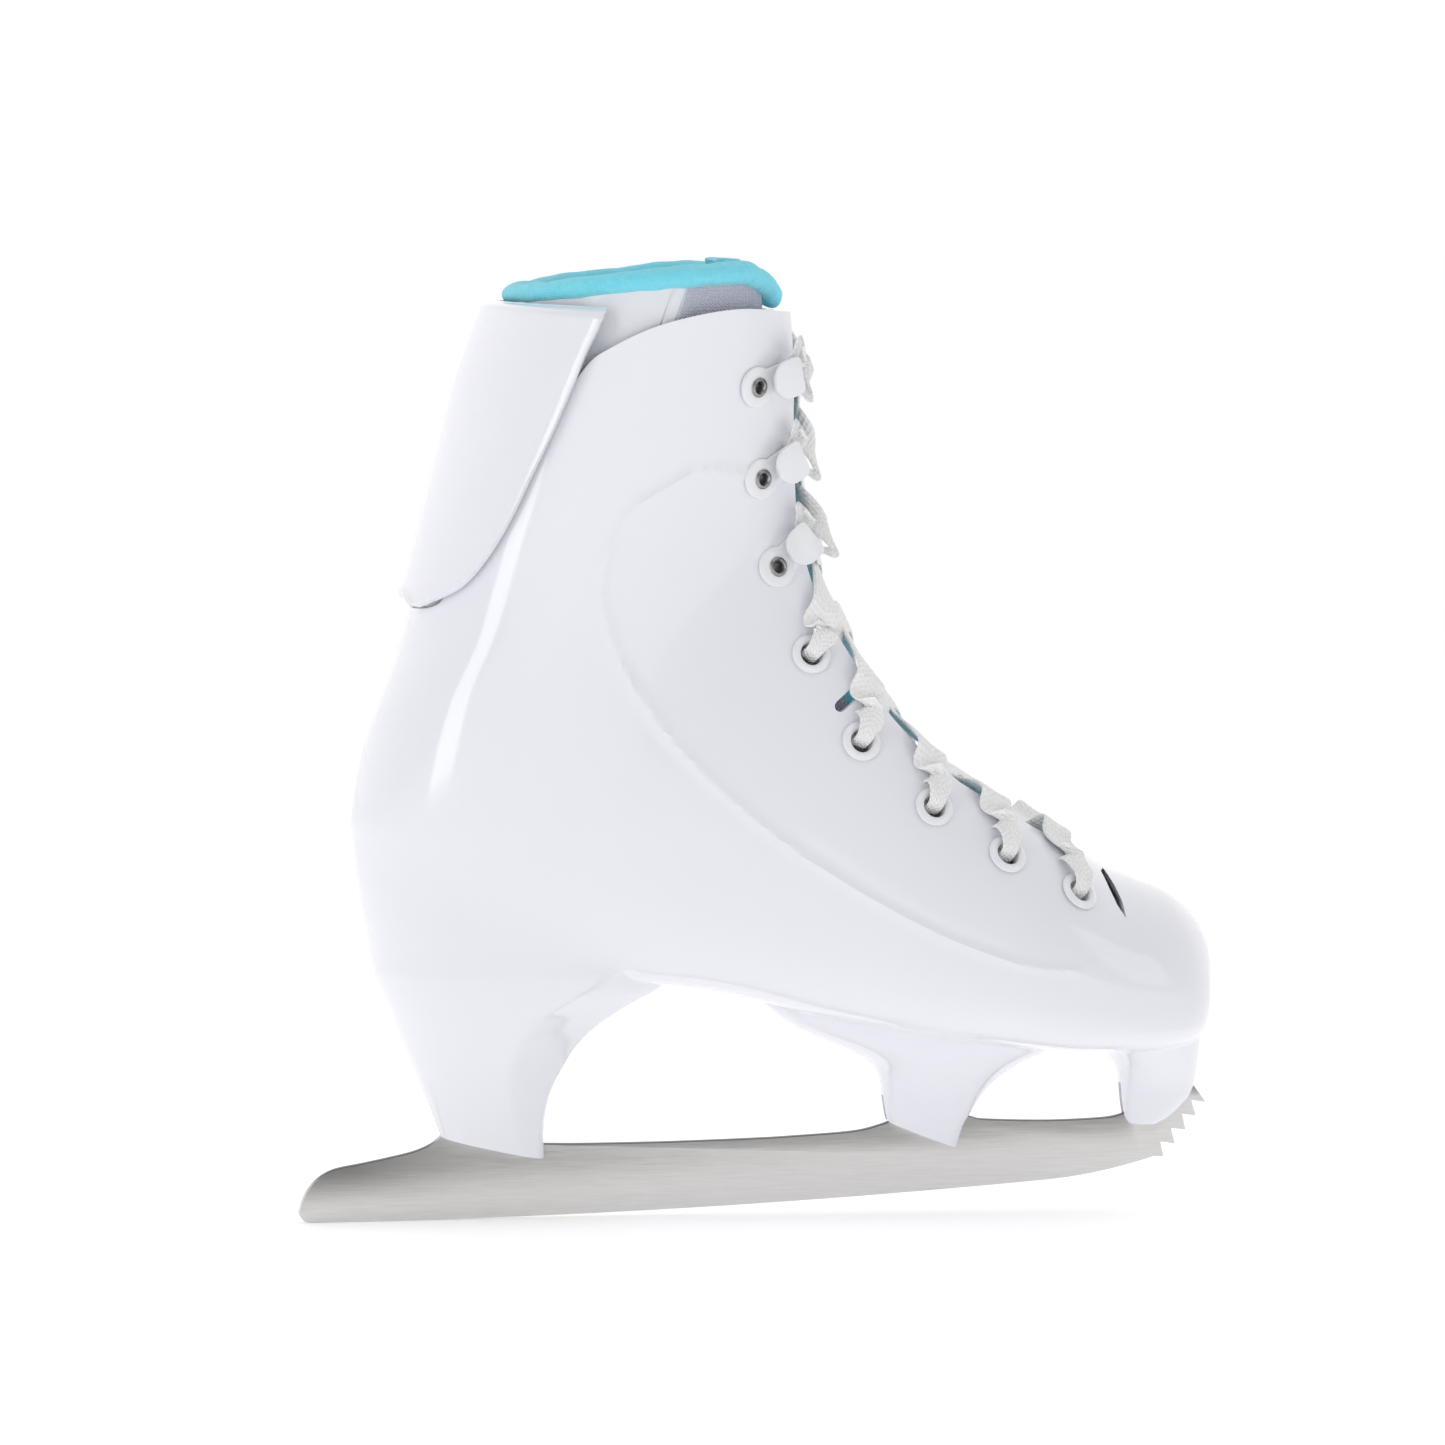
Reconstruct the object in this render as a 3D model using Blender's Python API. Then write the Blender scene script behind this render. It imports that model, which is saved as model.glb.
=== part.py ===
"""Figure skate for the right foot: a one-piece moulded boot with its blade posts, a liner, a lace and a steel blade.

Everything is a patch of one boot form. The form is a fan of cross-sections that runs from the tip of the toe,
along the foot and up the leg. STATIONS holds those sections, and on_form() gives a point of the form, or of a
layer at some depth under it. The shell, the liner, the tongue, the footbed and the cuff are layers of that form.

Frame: +X towards the toe, +Z up, Y across; the origin is on the ground, midway between tail and toe.
Sizes in the tables and constants are millimetres; MM turns them into Blender's metres.
"""

import math

import bmesh
import bpy
import numpy as np
from mathutils import Matrix, Vector

MM = 0.001
GAP = 0.3
LAYER_GAP = 0.9

# ---------------------------------------------------------------- driving dimensions (mm)

SHELL_WALL = 3.0
BOARD_THICKNESS = 2.0
LINER_THICKNESS = 4.5
LINER_EDGE_THICKNESS = 2.2
FOOTBED_THICKNESS = 3.0
TONGUE_THICKNESS = 5.0
CUFF_WALL = 2.6
CUFF_STANDOFF = 1.4
COLLAR_RADIUS = 3.1
COLLAR_DEPTH = 6.0
LACE_WIDTH = 8.0
LACE_THICKNESS = 1.2
LACE_ROOM = 2.6

BLADE_THICKNESS = 3.6
ROCKER_RADIUS = 3000.0
TAIL_CONTACT_X = -140.5

EYELET_FLANGE_RADIUS = 6.3
EYELET_BARREL_RADIUS = 4.2
EYELET_HOLE_RADIUS = 3.5
HOOK_DISC_RADIUS = 6.3
HOOK_REACH = 9.0
HOOK_PLATE_GAP = 3.0
HOOK_METAL = 1.0

CUFF_PIVOT = (-99.0, 197.0)
TONGUE_PIVOT = (3.0, 284.0)

# One row for each cross-section, from the toe up the leg: front point x, z; back point x, z; half-width;
# where it is widest, from 0 at the front to 1 at the back; how square its front and its back are.
STATIONS = [
    (143.7, 79.5, 143.7, 79.5, 0.0, 0.50, 2.0, 2.0),
    (143.0, 85.0, 143.4, 72.0, 14.0, 0.50, 2.0, 2.2),
    (141.0, 90.5, 142.8, 64.0, 22.0, 0.55, 2.0, 2.4),
    (136.8, 95.8, 141.0, 57.0, 30.0, 0.58, 2.0, 2.8),
    (130.0, 100.6, 136.0, 53.2, 36.5, 0.60, 2.1, 3.2),
    (120.5, 104.6, 126.5, 52.0, 42.0, 0.62, 2.1, 3.5),
    (108.0, 110.2, 112.5, 51.8, 46.0, 0.63, 2.1, 3.6),
    (92.5, 122.5, 96.0, 52.2, 48.8, 0.64, 2.1, 3.6),
    (76.0, 134.6, 75.0, 54.5, 49.6, 0.63, 2.1, 3.4),
    (59.5, 148.5, 48.0, 57.5, 47.8, 0.60, 2.1, 3.2),
    (45.5, 165.0, 18.0, 63.5, 44.8, 0.56, 2.1, 3.0),
    (36.0, 181.0, -12.0, 71.0, 42.0, 0.52, 2.1, 2.9),
    (29.5, 194.5, -45.0, 75.0, 39.6, 0.50, 2.1, 2.7),
    (24.8, 205.5, -82.0, 77.5, 38.0, 0.49, 2.1, 2.5),
    (21.8, 215.5, -110.0, 84.5, 37.0, 0.49, 2.1, 2.3),
    (19.8, 225.0, -123.5, 100.0, 36.8, 0.50, 2.1, 2.2),
    (18.4, 234.5, -127.1, 118.0, 37.0, 0.50, 2.1, 2.1),
    (17.4, 244.5, -122.5, 148.0, 37.6, 0.50, 2.1, 2.1),
    (16.4, 256.0, -111.5, 179.0, 39.2, 0.50, 2.1, 2.1),
    (15.2, 268.5, -100.0, 222.0, 42.0, 0.50, 2.1, 2.1),
    (13.4, 281.5, -91.0, 259.0, 44.0, 0.50, 2.1, 2.1),
    (11.4, 295.0, -81.0, 287.5, 45.2, 0.50, 2.1, 2.1),
    (8.0, 316.0, -74.0, 312.0, 46.0, 0.50, 2.1, 2.1),
]
TOP_STATION = len(STATIONS) - 1

# The toe of a right foot leans inwards, towards +Y: station and sideways shift.
TOE_LEAN = [(0, 6.0), (3, 5.6), (5, 3.8), (7, 1.6), (9, 0.3), (11, 0.0), (TOP_STATION, 0.0)]

# Throat of the shell: station and half-width of the opening.
THROAT = [(6.3, 7.0), (6.5, 14.0), (6.8, 19.0), (7.3, 23.5), (8.3, 28.0), (9.5, 30.5), (11.0, 30.0), (12.5, 27.0),
          (14.5, 23.0), (17.0, 21.0), (20.0, 20.5), (22.0, 20.5)]

# Side-view outlines (x, z).
SHELL_TOP_EDGE = [(30.0, 281.0), (9.0, 283.2), (-11.0, 284.4), (-33.0, 280.3), (-49.0, 273.3), (-58.0, 266.0),
                  (-72.0, 243.0), (-86.0, 219.0), (-97.0, 199.5), (-104.0, 192.6), (-125.0, 191.5)]
CUFF_FRONT_EDGE = [(-50.2, 286.0), (-52.4, 279.0), (-57.2, 269.0), (-63.8, 252.7), (-71.8, 235.2), (-77.0, 224.0),
                   (-82.5, 213.0), (-89.0, 203.6), (-95.5, 197.0), (-101.0, 193.6), (-105.0, 192.6)]
CUFF_BACK_STATIONS = [20.98, 20.75, 20.45, 20.0, 19.6, 19.3, 19.02, 18.78, 18.6, 18.48, 18.42]
LINER_SPLIT = [(-103.5, 197.5), (-57.5, 269.5), (-41.0, 297.0)]
COLLAR_LINE = [(-82.0, 288.6), (-60.0, 291.0), (-35.0, 293.2), (-12.0, 295.0), (-2.0, 295.0), (5.0, 291.5), (9.4, 285.5)]

# Sections of the three blade posts: height, back x, front x, half-width.
HEEL_POST = [
    (18.0, -96.2, -66.6, 8.4), (28.0, -99.6, -66.7, 9.2), (35.2, -102.2, -65.9, 10.8), (41.6, -104.8, -64.0, 13.2),
    (47.9, -107.4, -60.8, 16.0), (54.3, -110.0, -56.8, 19.2), (60.6, -112.6, -50.5, 22.2), (67.0, -115.0, -40.8, 24.8),
    (73.0, -117.8, -30.0, 26.8), (80.0, -120.4, -24.0, 28.4), (88.0, -122.6, -22.0, 29.4), (96.0, -123.6, -22.0, 29.6),
    (105.0, -123.8, -22.0, 29.0), (114.0, -123.0, -22.0, 27.6),
]
BALL_POST = [
    (18.0, 42.6, 63.4, 7.6), (26.0, 42.2, 65.6, 8.2), (31.0, 41.0, 68.4, 9.0), (37.0, 40.1, 72.2, 10.8),
    (42.0, 39.4, 77.0, 13.6), (47.0, 36.5, 84.5, 17.8), (51.0, 30.0, 93.0, 21.5), (55.0, 21.0, 99.0, 24.2),
    (60.0, 10.0, 102.0, 25.4), (66.0, 3.0, 103.0, 24.4), (72.0, 0.0, 103.0, 21.0),
]
TOE_POST = [
    (26.9, 118.6, 128.6, 7.0), (28.6, 117.5, 131.8, 7.6), (31.0, 116.9, 134.6, 8.2), (34.6, 116.4, 138.0, 9.2),
    (38.4, 116.1, 139.6, 10.6), (42.5, 115.6, 140.3, 13.4), (47.0, 113.4, 140.8, 17.4), (51.0, 109.0, 141.1, 21.6),
    (55.0, 104.0, 141.3, 24.6), (62.0, 100.0, 141.0, 25.0), (68.0, 100.0, 139.6, 23.0),
]
HEEL_POST_FOOT = ((-98.3, 26.3), (-71.5, 20.2))
BALL_POST_FOOT = ((43.2, 28.2), (60.5, 21.4))

# Upper outline of the blade in side view, from the tail forward, with the tangs that go up into the posts.
BLADE_TOP = [
    (-143.5, 3.0), (-142.3, 7.1), (-140.4, 10.6), (-137.5, 13.7), (-133.8, 15.9), (-130.2, 17.0), (-124.0, 18.1),
    (-114.9, 19.9), (-107.6, 21.6), (-102.1, 23.9), (-98.5, 27.0), (-95.0, 31.0), (-91.0, 40.0), (-81.0, 40.0),
    (-76.0, 30.0), (-69.0, 24.4), (-62.0, 23.3), (-30.0, 23.2), (0.0, 23.8), (14.4, 24.4), (30.3, 25.4), (38.3, 27.0),
    (44.0, 29.5), (49.0, 36.0), (59.0, 36.0), (63.0, 31.0), (68.8, 29.4), (73.4, 28.5), (91.9, 27.8), (107.3, 28.1),
    (115.0, 28.9), (119.0, 31.0), (121.5, 37.0), (130.5, 37.0), (135.0, 37.2),
]
PICK_TIPS = [(143.6, 32.9), (140.5, 28.6), (137.2, 24.2), (133.8, 19.8), (130.2, 15.7)]
PICK_ROOTS = [(139.0, 33.6), (136.1, 29.3), (132.5, 24.8), (129.1, 20.5)]

# Blade screws: name, x, height of the tang's top.
BLADE_SCREWS = [("heel", -86.0, 40.0), ("ball", 54.0, 36.0), ("toe", 126.0, 37.0)]
SCREW_RADIUS = 2.5
SCREW_HEAD_RADIUS = 4.6
SCREW_HEAD_HEIGHT = 3.0
NUT_RADIUS = 4.6
NUT_HEIGHT = 7.0

# Lace rows in side view (x, z), alike on both sides: five eyelets from the toe up, then three hooks.
EYELETS = [(96.0, 104.0), (72.4, 116.2), (49.6, 131.6), (28.6, 151.0), (13.2, 178.0)]
HOOKS = [(2.4, 204.6), (-2.4, 232.0), (-4.4, 261.0)]

# Above this station the lace leaves its row round a hook, not up through an eyelet.
FIRST_HOOK_STATION = 14.0

# Colours: base colour, roughness, metallic.
COLOURS = {
    "shell": ((0.86, 0.87, 0.91), 0.12, 0.0),
    "steel": ((0.62, 0.61, 0.60), 0.35, 1.0),
    "enamel": ((0.88, 0.89, 0.90), 0.25, 0.0),
    "mesh": ((0.78, 0.78, 0.84), 0.90, 0.0),
    "plush": ((0.10, 0.62, 0.82), 0.95, 0.0),
    "patent": ((0.86, 0.87, 0.92), 0.20, 0.0),
    "board": ((0.35, 0.33, 0.31), 0.85, 0.0),
    "lace": ((0.86, 0.86, 0.85), 0.90, 0.0),
}


# ---------------------------------------------------------------- the boot form

def catmull_rom(rows, at):
    """Rows of numbers read at fractional indices, on a smooth curve through every row."""
    rows = np.array(rows, float)
    padded = np.vstack([2 * rows[0] - rows[1], rows, 2 * rows[-1] - rows[-2]])
    at = np.clip(np.asarray(at, float), 0, len(rows) - 1)
    i = np.minimum(at.astype(int), len(rows) - 2)
    f = (at - i)[..., None]
    a, b, c, d = (padded[i + k] for k in range(4))
    return 0.5 * (2 * b + (c - a) * f + (2 * a - 5 * b + 4 * c - d) * f**2 + (3 * b - a - 3 * c + d) * f**3)


def read_table(pairs, at):
    """A value read at station `at` from (station, value) pairs."""
    keys, values = zip(*pairs)
    return np.interp(at, keys, values)


SECTION_POINTS = 96
FORM_STATIONS = 220
THROAT_ROWS = 22
LINER_ROWS = 17
PROFILE_ANGLES = np.linspace(0, math.pi / 2, 120)


def half_section(row):
    """One side of a cross-section, from its front centre to its back centre, evenly spaced."""
    front_x, front_z, back_x, back_z, half_width, widest, front_power, back_power = row
    rise, turn = np.sin(PROFILE_ANGLES), np.cos(PROFILE_ANGLES)
    along = np.concatenate([widest * (1 - turn ** (2 / front_power)),
                            (widest + (1 - widest) * rise ** (2 / back_power))[1:]])
    out = np.concatenate([rise ** (2 / front_power), (turn ** (2 / back_power))[1:]]) * half_width
    points = np.stack([front_x + (back_x - front_x) * along, out, front_z + (back_z - front_z) * along], 1)
    travelled = np.concatenate([[0], np.cumsum(np.linalg.norm(np.diff(points, axis=0), axis=1))])
    if travelled[-1] < 1e-9:
        return np.repeat(points[:1], SECTION_POINTS + 1, 0)
    even = np.linspace(0, travelled[-1], SECTION_POINTS + 1)
    return np.stack([np.interp(even, travelled, points[:, k]) for k in range(3)], 1)


def make_form():
    """The form's points and outward normals: a closed ring of 2 * SECTION_POINTS at each of FORM_STATIONS."""
    at = np.linspace(0, TOP_STATION, FORM_STATIONS)
    halves = np.array([half_section(row) for row in catmull_rom(STATIONS, at)])
    lean = np.interp(at, *zip(*TOE_LEAN))
    other = halves[:, -2:0:-1] * np.array([1, -1, 1])
    ring = np.concatenate([halves, other], 1)
    ring[:, :, 1] += lean[:, None]
    along = np.gradient(ring, axis=0)
    around = np.roll(ring, -1, 1) - np.roll(ring, 1, 1)
    normal = np.cross(around, along)
    normal[0] = (1, 0, 0)
    return ring, normal / np.linalg.norm(normal, axis=2, keepdims=True)


FORM, FORM_NORMALS = make_form()
SECTION_LENGTHS = np.linalg.norm(np.diff(FORM[:, : SECTION_POINTS + 1], axis=1), axis=2).sum(1)


def read_form(grid, station, ring):
    rows = np.clip(station / TOP_STATION, 0, 1) * (FORM_STATIONS - 1)
    i = np.minimum(rows.astype(int), FORM_STATIONS - 2)
    f = (rows - i)[..., None]
    columns = ring * SECTION_POINTS
    j = np.floor(columns).astype(int)
    g = (columns - j)[..., None]
    j, k = j % (2 * SECTION_POINTS), (j + 1) % (2 * SECTION_POINTS)
    return (1 - f) * ((1 - g) * grid[i, j] + g * grid[i, k]) + f * ((1 - g) * grid[i + 1, j] + g * grid[i + 1, k])


def on_form(station, ring, depth=0.0):
    """Points `depth` mm under the form (a negative depth stands off it) and their normals.

    `ring` is 0 at the front centre, 1 at the back centre; -Y's side runs on from 1 to 2, or from 0 to -1."""
    station, ring, depth = np.broadcast_arrays(np.asarray(station, float), ring, depth)
    normal = read_form(FORM_NORMALS, station, ring)
    normal = normal / np.linalg.norm(normal, axis=-1, keepdims=True)
    return read_form(FORM, station, ring) - normal * depth[..., None], normal


def ring_at_width(station, width):
    """The ring value that lies `width` mm from the front centre, measured along the section."""
    rows = np.clip(np.asarray(station, float) / TOP_STATION, 0, 1) * (FORM_STATIONS - 1)
    return width / np.maximum(np.interp(rows, np.arange(FORM_STATIONS), SECTION_LENGTHS), 1.0)


def locate(x, z):
    """(station, ring) of the +Y point of the form whose side view is (x, z)."""
    half = FORM[:, : SECTION_POINTS + 1]
    far = (half[:, :, 0] - x) ** 2 + (half[:, :, 2] - z) ** 2
    i, j = np.unravel_index(np.argmin(far), far.shape)
    return i * TOP_STATION / (FORM_STATIONS - 1), j / SECTION_POINTS


# ---------------------------------------------------------------- objects

def material(name):
    made = bpy.data.materials.get(name)
    if made is None:
        made = bpy.data.materials.new(name)
        made.use_nodes = True
        colour, roughness, metallic = COLOURS[name]
        shader = made.node_tree.nodes["Principled BSDF"]
        shader.inputs["Base Color"].default_value = (*colour, 1)
        shader.inputs["Roughness"].default_value = roughness
        shader.inputs["Metallic"].default_value = metallic
    return made


def add_object(name, bm, colour, smooth=True):
    """Turns a bmesh in millimetres into an object in metres."""
    bmesh.ops.remove_doubles(bm, verts=bm.verts, dist=1e-4)
    bmesh.ops.dissolve_degenerate(bm, edges=bm.edges, dist=1e-5)
    bmesh.ops.recalc_face_normals(bm, faces=bm.faces)
    bmesh.ops.scale(bm, verts=bm.verts, vec=(MM, MM, MM))
    mesh = bpy.data.meshes.new(name)
    bm.to_mesh(mesh)
    bm.free()
    if smooth:
        mesh.shade_smooth()
        mesh.set_sharp_from_angle(angle=math.radians(40))
    obj = bpy.data.objects.new(name, mesh)
    bpy.context.scene.collection.objects.link(obj)
    if colour:
        mesh.materials.append(material(colour))
    return obj


def as_cutter(obj):
    obj.hide_render = True
    obj.display_type = "WIRE"
    return obj


def boolean(obj, other, operation):
    modifier = obj.modifiers.new(operation.title() + other.name, "BOOLEAN")
    modifier.operation = operation
    modifier.object = as_cutter(other)
    modifier.solver = "EXACT"


def place_origin(obj, pivot):
    """Puts the object's origin on its joint's axis, at side-view point `pivot`."""
    offset = Vector((pivot[0], 0, pivot[1])) * MM
    obj.data.transform(Matrix.Translation(-offset))
    obj.location = offset


def solid_between(outer, inner, closed=None):
    """A bmesh solid between two grids of points. Where `closed` is true for a row, its two ends are one point."""
    rows, columns = outer.shape[:2]
    bm = bmesh.new()
    grids = [[[bm.verts.new(p) for p in row] for row in grid] for grid in (outer, inner)]
    for grid in grids:
        for i in range(rows - 1):
            for j in range(columns - 1):
                bm.faces.new((grid[i][j], grid[i + 1][j], grid[i + 1][j + 1], grid[i][j + 1]))
    first, second = grids
    for i in range(rows - 1):
        if closed is not None and closed[i] and closed[i + 1]:
            continue
        for j in (0, columns - 1):
            bm.faces.new((first[i][j], second[i][j], second[i + 1][j], first[i + 1][j]))
    for i in (0, rows - 1):
        if closed is not None and closed[i] and i == 0:
            continue
        for j in range(columns - 1):
            bm.faces.new((first[i][j], first[i][j + 1], second[i][j + 1], second[i][j]))
    bmesh.ops.remove_doubles(bm, verts=bm.verts, dist=1e-3)
    return bm


def form_solid(depth, stations, around):
    """The form at some depth as a closed solid, capped at its last station."""
    station, ring = np.meshgrid(stations, np.linspace(0, 2, around, endpoint=False), indexing="ij")
    points, _ = on_form(station, ring, depth)
    bm = bmesh.new()
    rows = [[bm.verts.new(p) for p in row] for row in points]
    for low, high in zip(rows, rows[1:]):
        for j in range(around):
            k = (j + 1) % around
            bm.faces.new((low[j], high[j], high[k], low[k]))
    bm.faces.new(rows[-1])
    bmesh.ops.remove_doubles(bm, verts=bm.verts, dist=1e-3)
    return bm


def prism(outline, half_depth):
    """A side-view outline (x, z) drawn out across Y."""
    bm = bmesh.new()
    face = bm.faces.new([bm.verts.new((x, -half_depth, z)) for x, z in outline])
    made = bmesh.ops.extrude_face_region(bm, geom=[face])
    moved = [v for v in made["geom"] if isinstance(v, bmesh.types.BMVert)]
    bmesh.ops.translate(bm, verts=moved, vec=(0, 2 * half_depth, 0))
    return bm


def turned(profile, centre, axis, around, spin=0.0, closed=True):
    """A (radius, height) profile turned about `axis` through `centre`: a ring, or with `closed` off a solid bar."""
    bm = bmesh.new()
    rings = []
    for radius, height in profile:
        ring = []
        for k in range(around):
            angle = spin + 2 * math.pi * k / around
            ring.append(bm.verts.new((radius * math.cos(angle), radius * math.sin(angle), height)))
        rings.append(ring)
    for low, high in zip(rings, rings[1:] + (rings[:1] if closed else [])):
        for k in range(around):
            m = (k + 1) % around
            bm.faces.new((low[k], low[m], high[m], high[k]))
    if not closed:
        bm.faces.new(rings[0])
        bm.faces.new(rings[-1])
    turn = Vector((0, 0, 1)).rotation_difference(Vector(axis)).to_matrix().to_4x4()
    bm.transform(Matrix.Translation(Vector(centre)) @ turn)
    return bm


def rod(profile, centre, axis, around, spin=0.0):
    return turned(profile, centre, axis, around, spin, closed=False)


def capsule(start, end, radius, half_depth):
    """A slot cutter: a round-ended bar in side view, drawn out across Y."""
    angle = math.atan2(end[1] - start[1], end[0] - start[0])
    outline = []
    for centre, first in ((end, angle - math.pi / 2), (start, angle + math.pi / 2)):
        for k in range(7):
            turn = first + math.pi * k / 6
            outline.append((centre[0] + radius * math.cos(turn), centre[1] + radius * math.sin(turn)))
    return prism(outline, half_depth)


# ---------------------------------------------------------------- shell with its posts

def post_solid(sections, around=20, power=2.3):
    """A blade post lofted through level, rounded sections."""
    bm = bmesh.new()
    rings = []
    for height, back, front, half_width in sections:
        ring = []
        for k in range(around):
            angle = 2 * math.pi * k / around
            c, s = math.cos(angle), math.sin(angle)
            x = (back + front) / 2 + (front - back) / 2 * math.copysign(abs(c) ** (2 / power), c)
            y = half_width * math.copysign(abs(s) ** (2 / power), s)
            ring.append(bm.verts.new((x, y, height)))
        rings.append(ring)
    for low, high in zip(rings, rings[1:]):
        for k in range(around):
            m = (k + 1) % around
            bm.faces.new((low[k], low[m], high[m], high[k]))
    bm.faces.new(rings[0])
    bm.faces.new(rings[-1])
    return bm


def trim_below(bm, start, end):
    """Cuts a post's foot off square below the side-view line start-end."""
    along = Vector((end[0] - start[0], 0, end[1] - start[1]))
    down = along.cross(Vector((0, 1, 0))).normalized()
    if down.z > 0:
        down = -down
    cut = bmesh.ops.bisect_plane(bm, geom=bm.verts[:] + bm.edges[:] + bm.faces[:], plane_co=(start[0], 0, start[1]),
                                 plane_no=down, clear_outer=True)
    edges = [e for e in cut["geom_cut"] if isinstance(e, bmesh.types.BMEdge)]
    bmesh.ops.contextual_create(bm, geom=edges)
    return bm


def shell_stations():
    toe = [0, 0.35, 0.8, 1.4, 2.0, 2.7, 3.4, 4.2, 5.0]
    return np.concatenate([toe, np.linspace(5.8, TOP_STATION, 26)])


def throat_cutter(first_depth, last_depth):
    """The lacing gap as a solid that straddles the front of the form."""
    stations = np.concatenate([[6.3, 6.45], np.linspace(6.7, TOP_STATION, THROAT_ROWS)])
    edge = ring_at_width(stations, read_table(THROAT, stations))
    across = np.linspace(-1, 1, 7)
    station, ring = np.broadcast_arrays(stations[:, None], edge[:, None] * across)
    return solid_between(on_form(station, ring, first_depth)[0], on_form(station, ring, last_depth)[0])


def floor_height(x):
    """Height of the shell's inner floor at x on the centre line."""
    stations = np.linspace(2, 16, 400)
    points, _ = on_form(stations, np.ones(400), SHELL_WALL)
    keep = points[:, 2] < 110
    order = np.argsort(points[keep, 0])
    return float(np.interp(x, points[keep, 0][order], points[keep, 2][order]))


def make_shell():
    shell = add_object("boot_shell", form_solid(0.0, shell_stations(), 32), "shell")
    posts = [
        ("heel_post", trim_below(post_solid(HEEL_POST), *HEEL_POST_FOOT)),
        ("ball_post", trim_below(post_solid(BALL_POST), *BALL_POST_FOOT)),
        ("toe_post", post_solid(TOE_POST)),
    ]
    for name, bm in posts:
        boolean(shell, add_object(name, bm, None), "UNION")
    cutters = [("cavity", form_solid(SHELL_WALL, shell_stations(), 30)), ("throat", throat_cutter(-6.0, 8.0))]
    above = [(x, z) for x, z in SHELL_TOP_EDGE] + [(-125.0, 340.0), (30.0, 340.0)]
    cutters.append(("top_trim", prism(above, 80.0)))
    cutters.append(("instep_slot", capsule((22.0, 162.6), (52.0, 186.0), 1.75, 70.0)))
    leaf = [(107.0, 108.6), (108.0, 104.0), (109.4, 99.6), (111.8, 95.6), (111.6, 100.0), (110.4, 104.6), (108.8, 108.8)]
    cutters.append(("toe_slit", prism(leaf, 60.0)))
    for name, x, tang_top in BLADE_SCREWS:
        floor = floor_height(x)
        way, head, nut = SCREW_RADIUS + GAP, SCREW_HEAD_RADIUS + GAP, NUT_RADIUS + GAP
        seat, roof = floor - SCREW_HEAD_HEIGHT - 0.5, tang_top + NUT_HEIGHT + 1.0
        profile = [(nut, tang_top - 2), (nut, roof), (way, roof), (way, seat), (head, seat), (head, floor + 12)]
        cutters.append((f"screw_way_{name}", rod(profile, (x, 0, 0), (0, 0, 1), 14, 0.11)))
    slots = [("heel_slot", -130.0, -50.0, 41.0), ("ball_slot", 30.0, 80.0, 37.0), ("toe_slot", 105.0, 160.0, 39.4)]
    for name, back, front, top in slots:
        box = [(back, 5.0), (front, 5.0), (front, top), (back, top)]
        cutters.append((name, prism(box, BLADE_THICKNESS / 2 + GAP)))
    for name, bm in cutters:
        boolean(shell, add_object(name, bm, None), "DIFFERENCE")
    for side in (1, -1):
        for rows, radius in ((EYELETS, EYELET_BARREL_RADIUS + GAP), (HOOKS, 1.9 + GAP)):
            for number, place in enumerate(rows):
                centre, normal = lace_point(place, side)
                hole = rod([(radius, -10), (radius, 8)], centre, normal, 12)
                boolean(shell, add_object(f"hole_{len(rows)}_{number}_{side}", hole, None), "DIFFERENCE")


def lace_point(place, side):
    """The point and normal of the form at a side-view place, on the +Y or the -Y side."""
    station, ring = locate(*place)
    point, normal = on_form(station, ring if side > 0 else 2 - ring)
    return Vector(point), Vector(normal)


# ---------------------------------------------------------------- blade and its fixings

def running_edge(x):
    """Height of the blade's running edge: the rocker's arc, then a tighter one up to the toe picks."""
    z = (x - TAIL_CONTACT_X) ** 2 / (2 * ROCKER_RADIUS)
    if x > 92:
        z += (x - 92) ** 2 / 310
    return z


def make_blade():
    """The blade as upright strips between its two edges, so that its sides stay flat, with the picks in front."""
    top_x, top_z = zip(*BLADE_TOP)
    strips = sorted(set(list(top_x[1:]) + [-50.0, -15.0, 8.0, 80.0, 100.0, 127.0]))
    low = [(x, running_edge(x)) for x in strips]
    low[0] = (strips[0], 0.6)
    high = [(x, float(np.interp(x, top_x, top_z))) for x in strips]
    half = BLADE_THICKNESS / 2
    front = [(127.0, 15.8)]
    for number, tip in enumerate(reversed(PICK_TIPS)):
        front.append(tip)
        if number < len(PICK_ROOTS):
            front.append(PICK_ROOTS[-1 - number])
    front.append((139.6, 38.6))
    bm = bmesh.new()
    layers = []
    for y in (-half, half):
        layer = {}
        for point in low + high + front + [(-143.5, 3.0)]:
            layer[point] = bm.verts.new((point[0], y, point[1]))
        layers.append(layer)
    near, far = layers
    last = max(i for i, x in enumerate(strips) if x <= 127.0)
    for i in range(last):
        loop = [low[i], low[i + 1], high[i + 1], high[i]]
        bm.faces.new([near[p] for p in loop])
        bm.faces.new([far[p] for p in reversed(loop)])
    tail = [(-143.5, 3.0), low[0], high[0]]
    toe = [low[last]] + front + [p for p in reversed(high) if p[0] >= 127.0]
    for loop in (tail, toe):
        bm.faces.new([near[p] for p in loop])
        bm.faces.new([far[p] for p in reversed(loop)])
    rim = [(-143.5, 3.0)] + low[: last + 1] + front + list(reversed(high))
    for a, b in zip(rim, rim[1:] + rim[:1]):
        bm.faces.new((near[a], far[a], far[b], near[b]))
    used = {v for f in bm.faces for v in f.verts}
    bmesh.ops.delete(bm, geom=[v for v in bm.verts if v not in used], context="VERTS")
    add_object("blade", bm, "steel", smooth=False)


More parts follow.
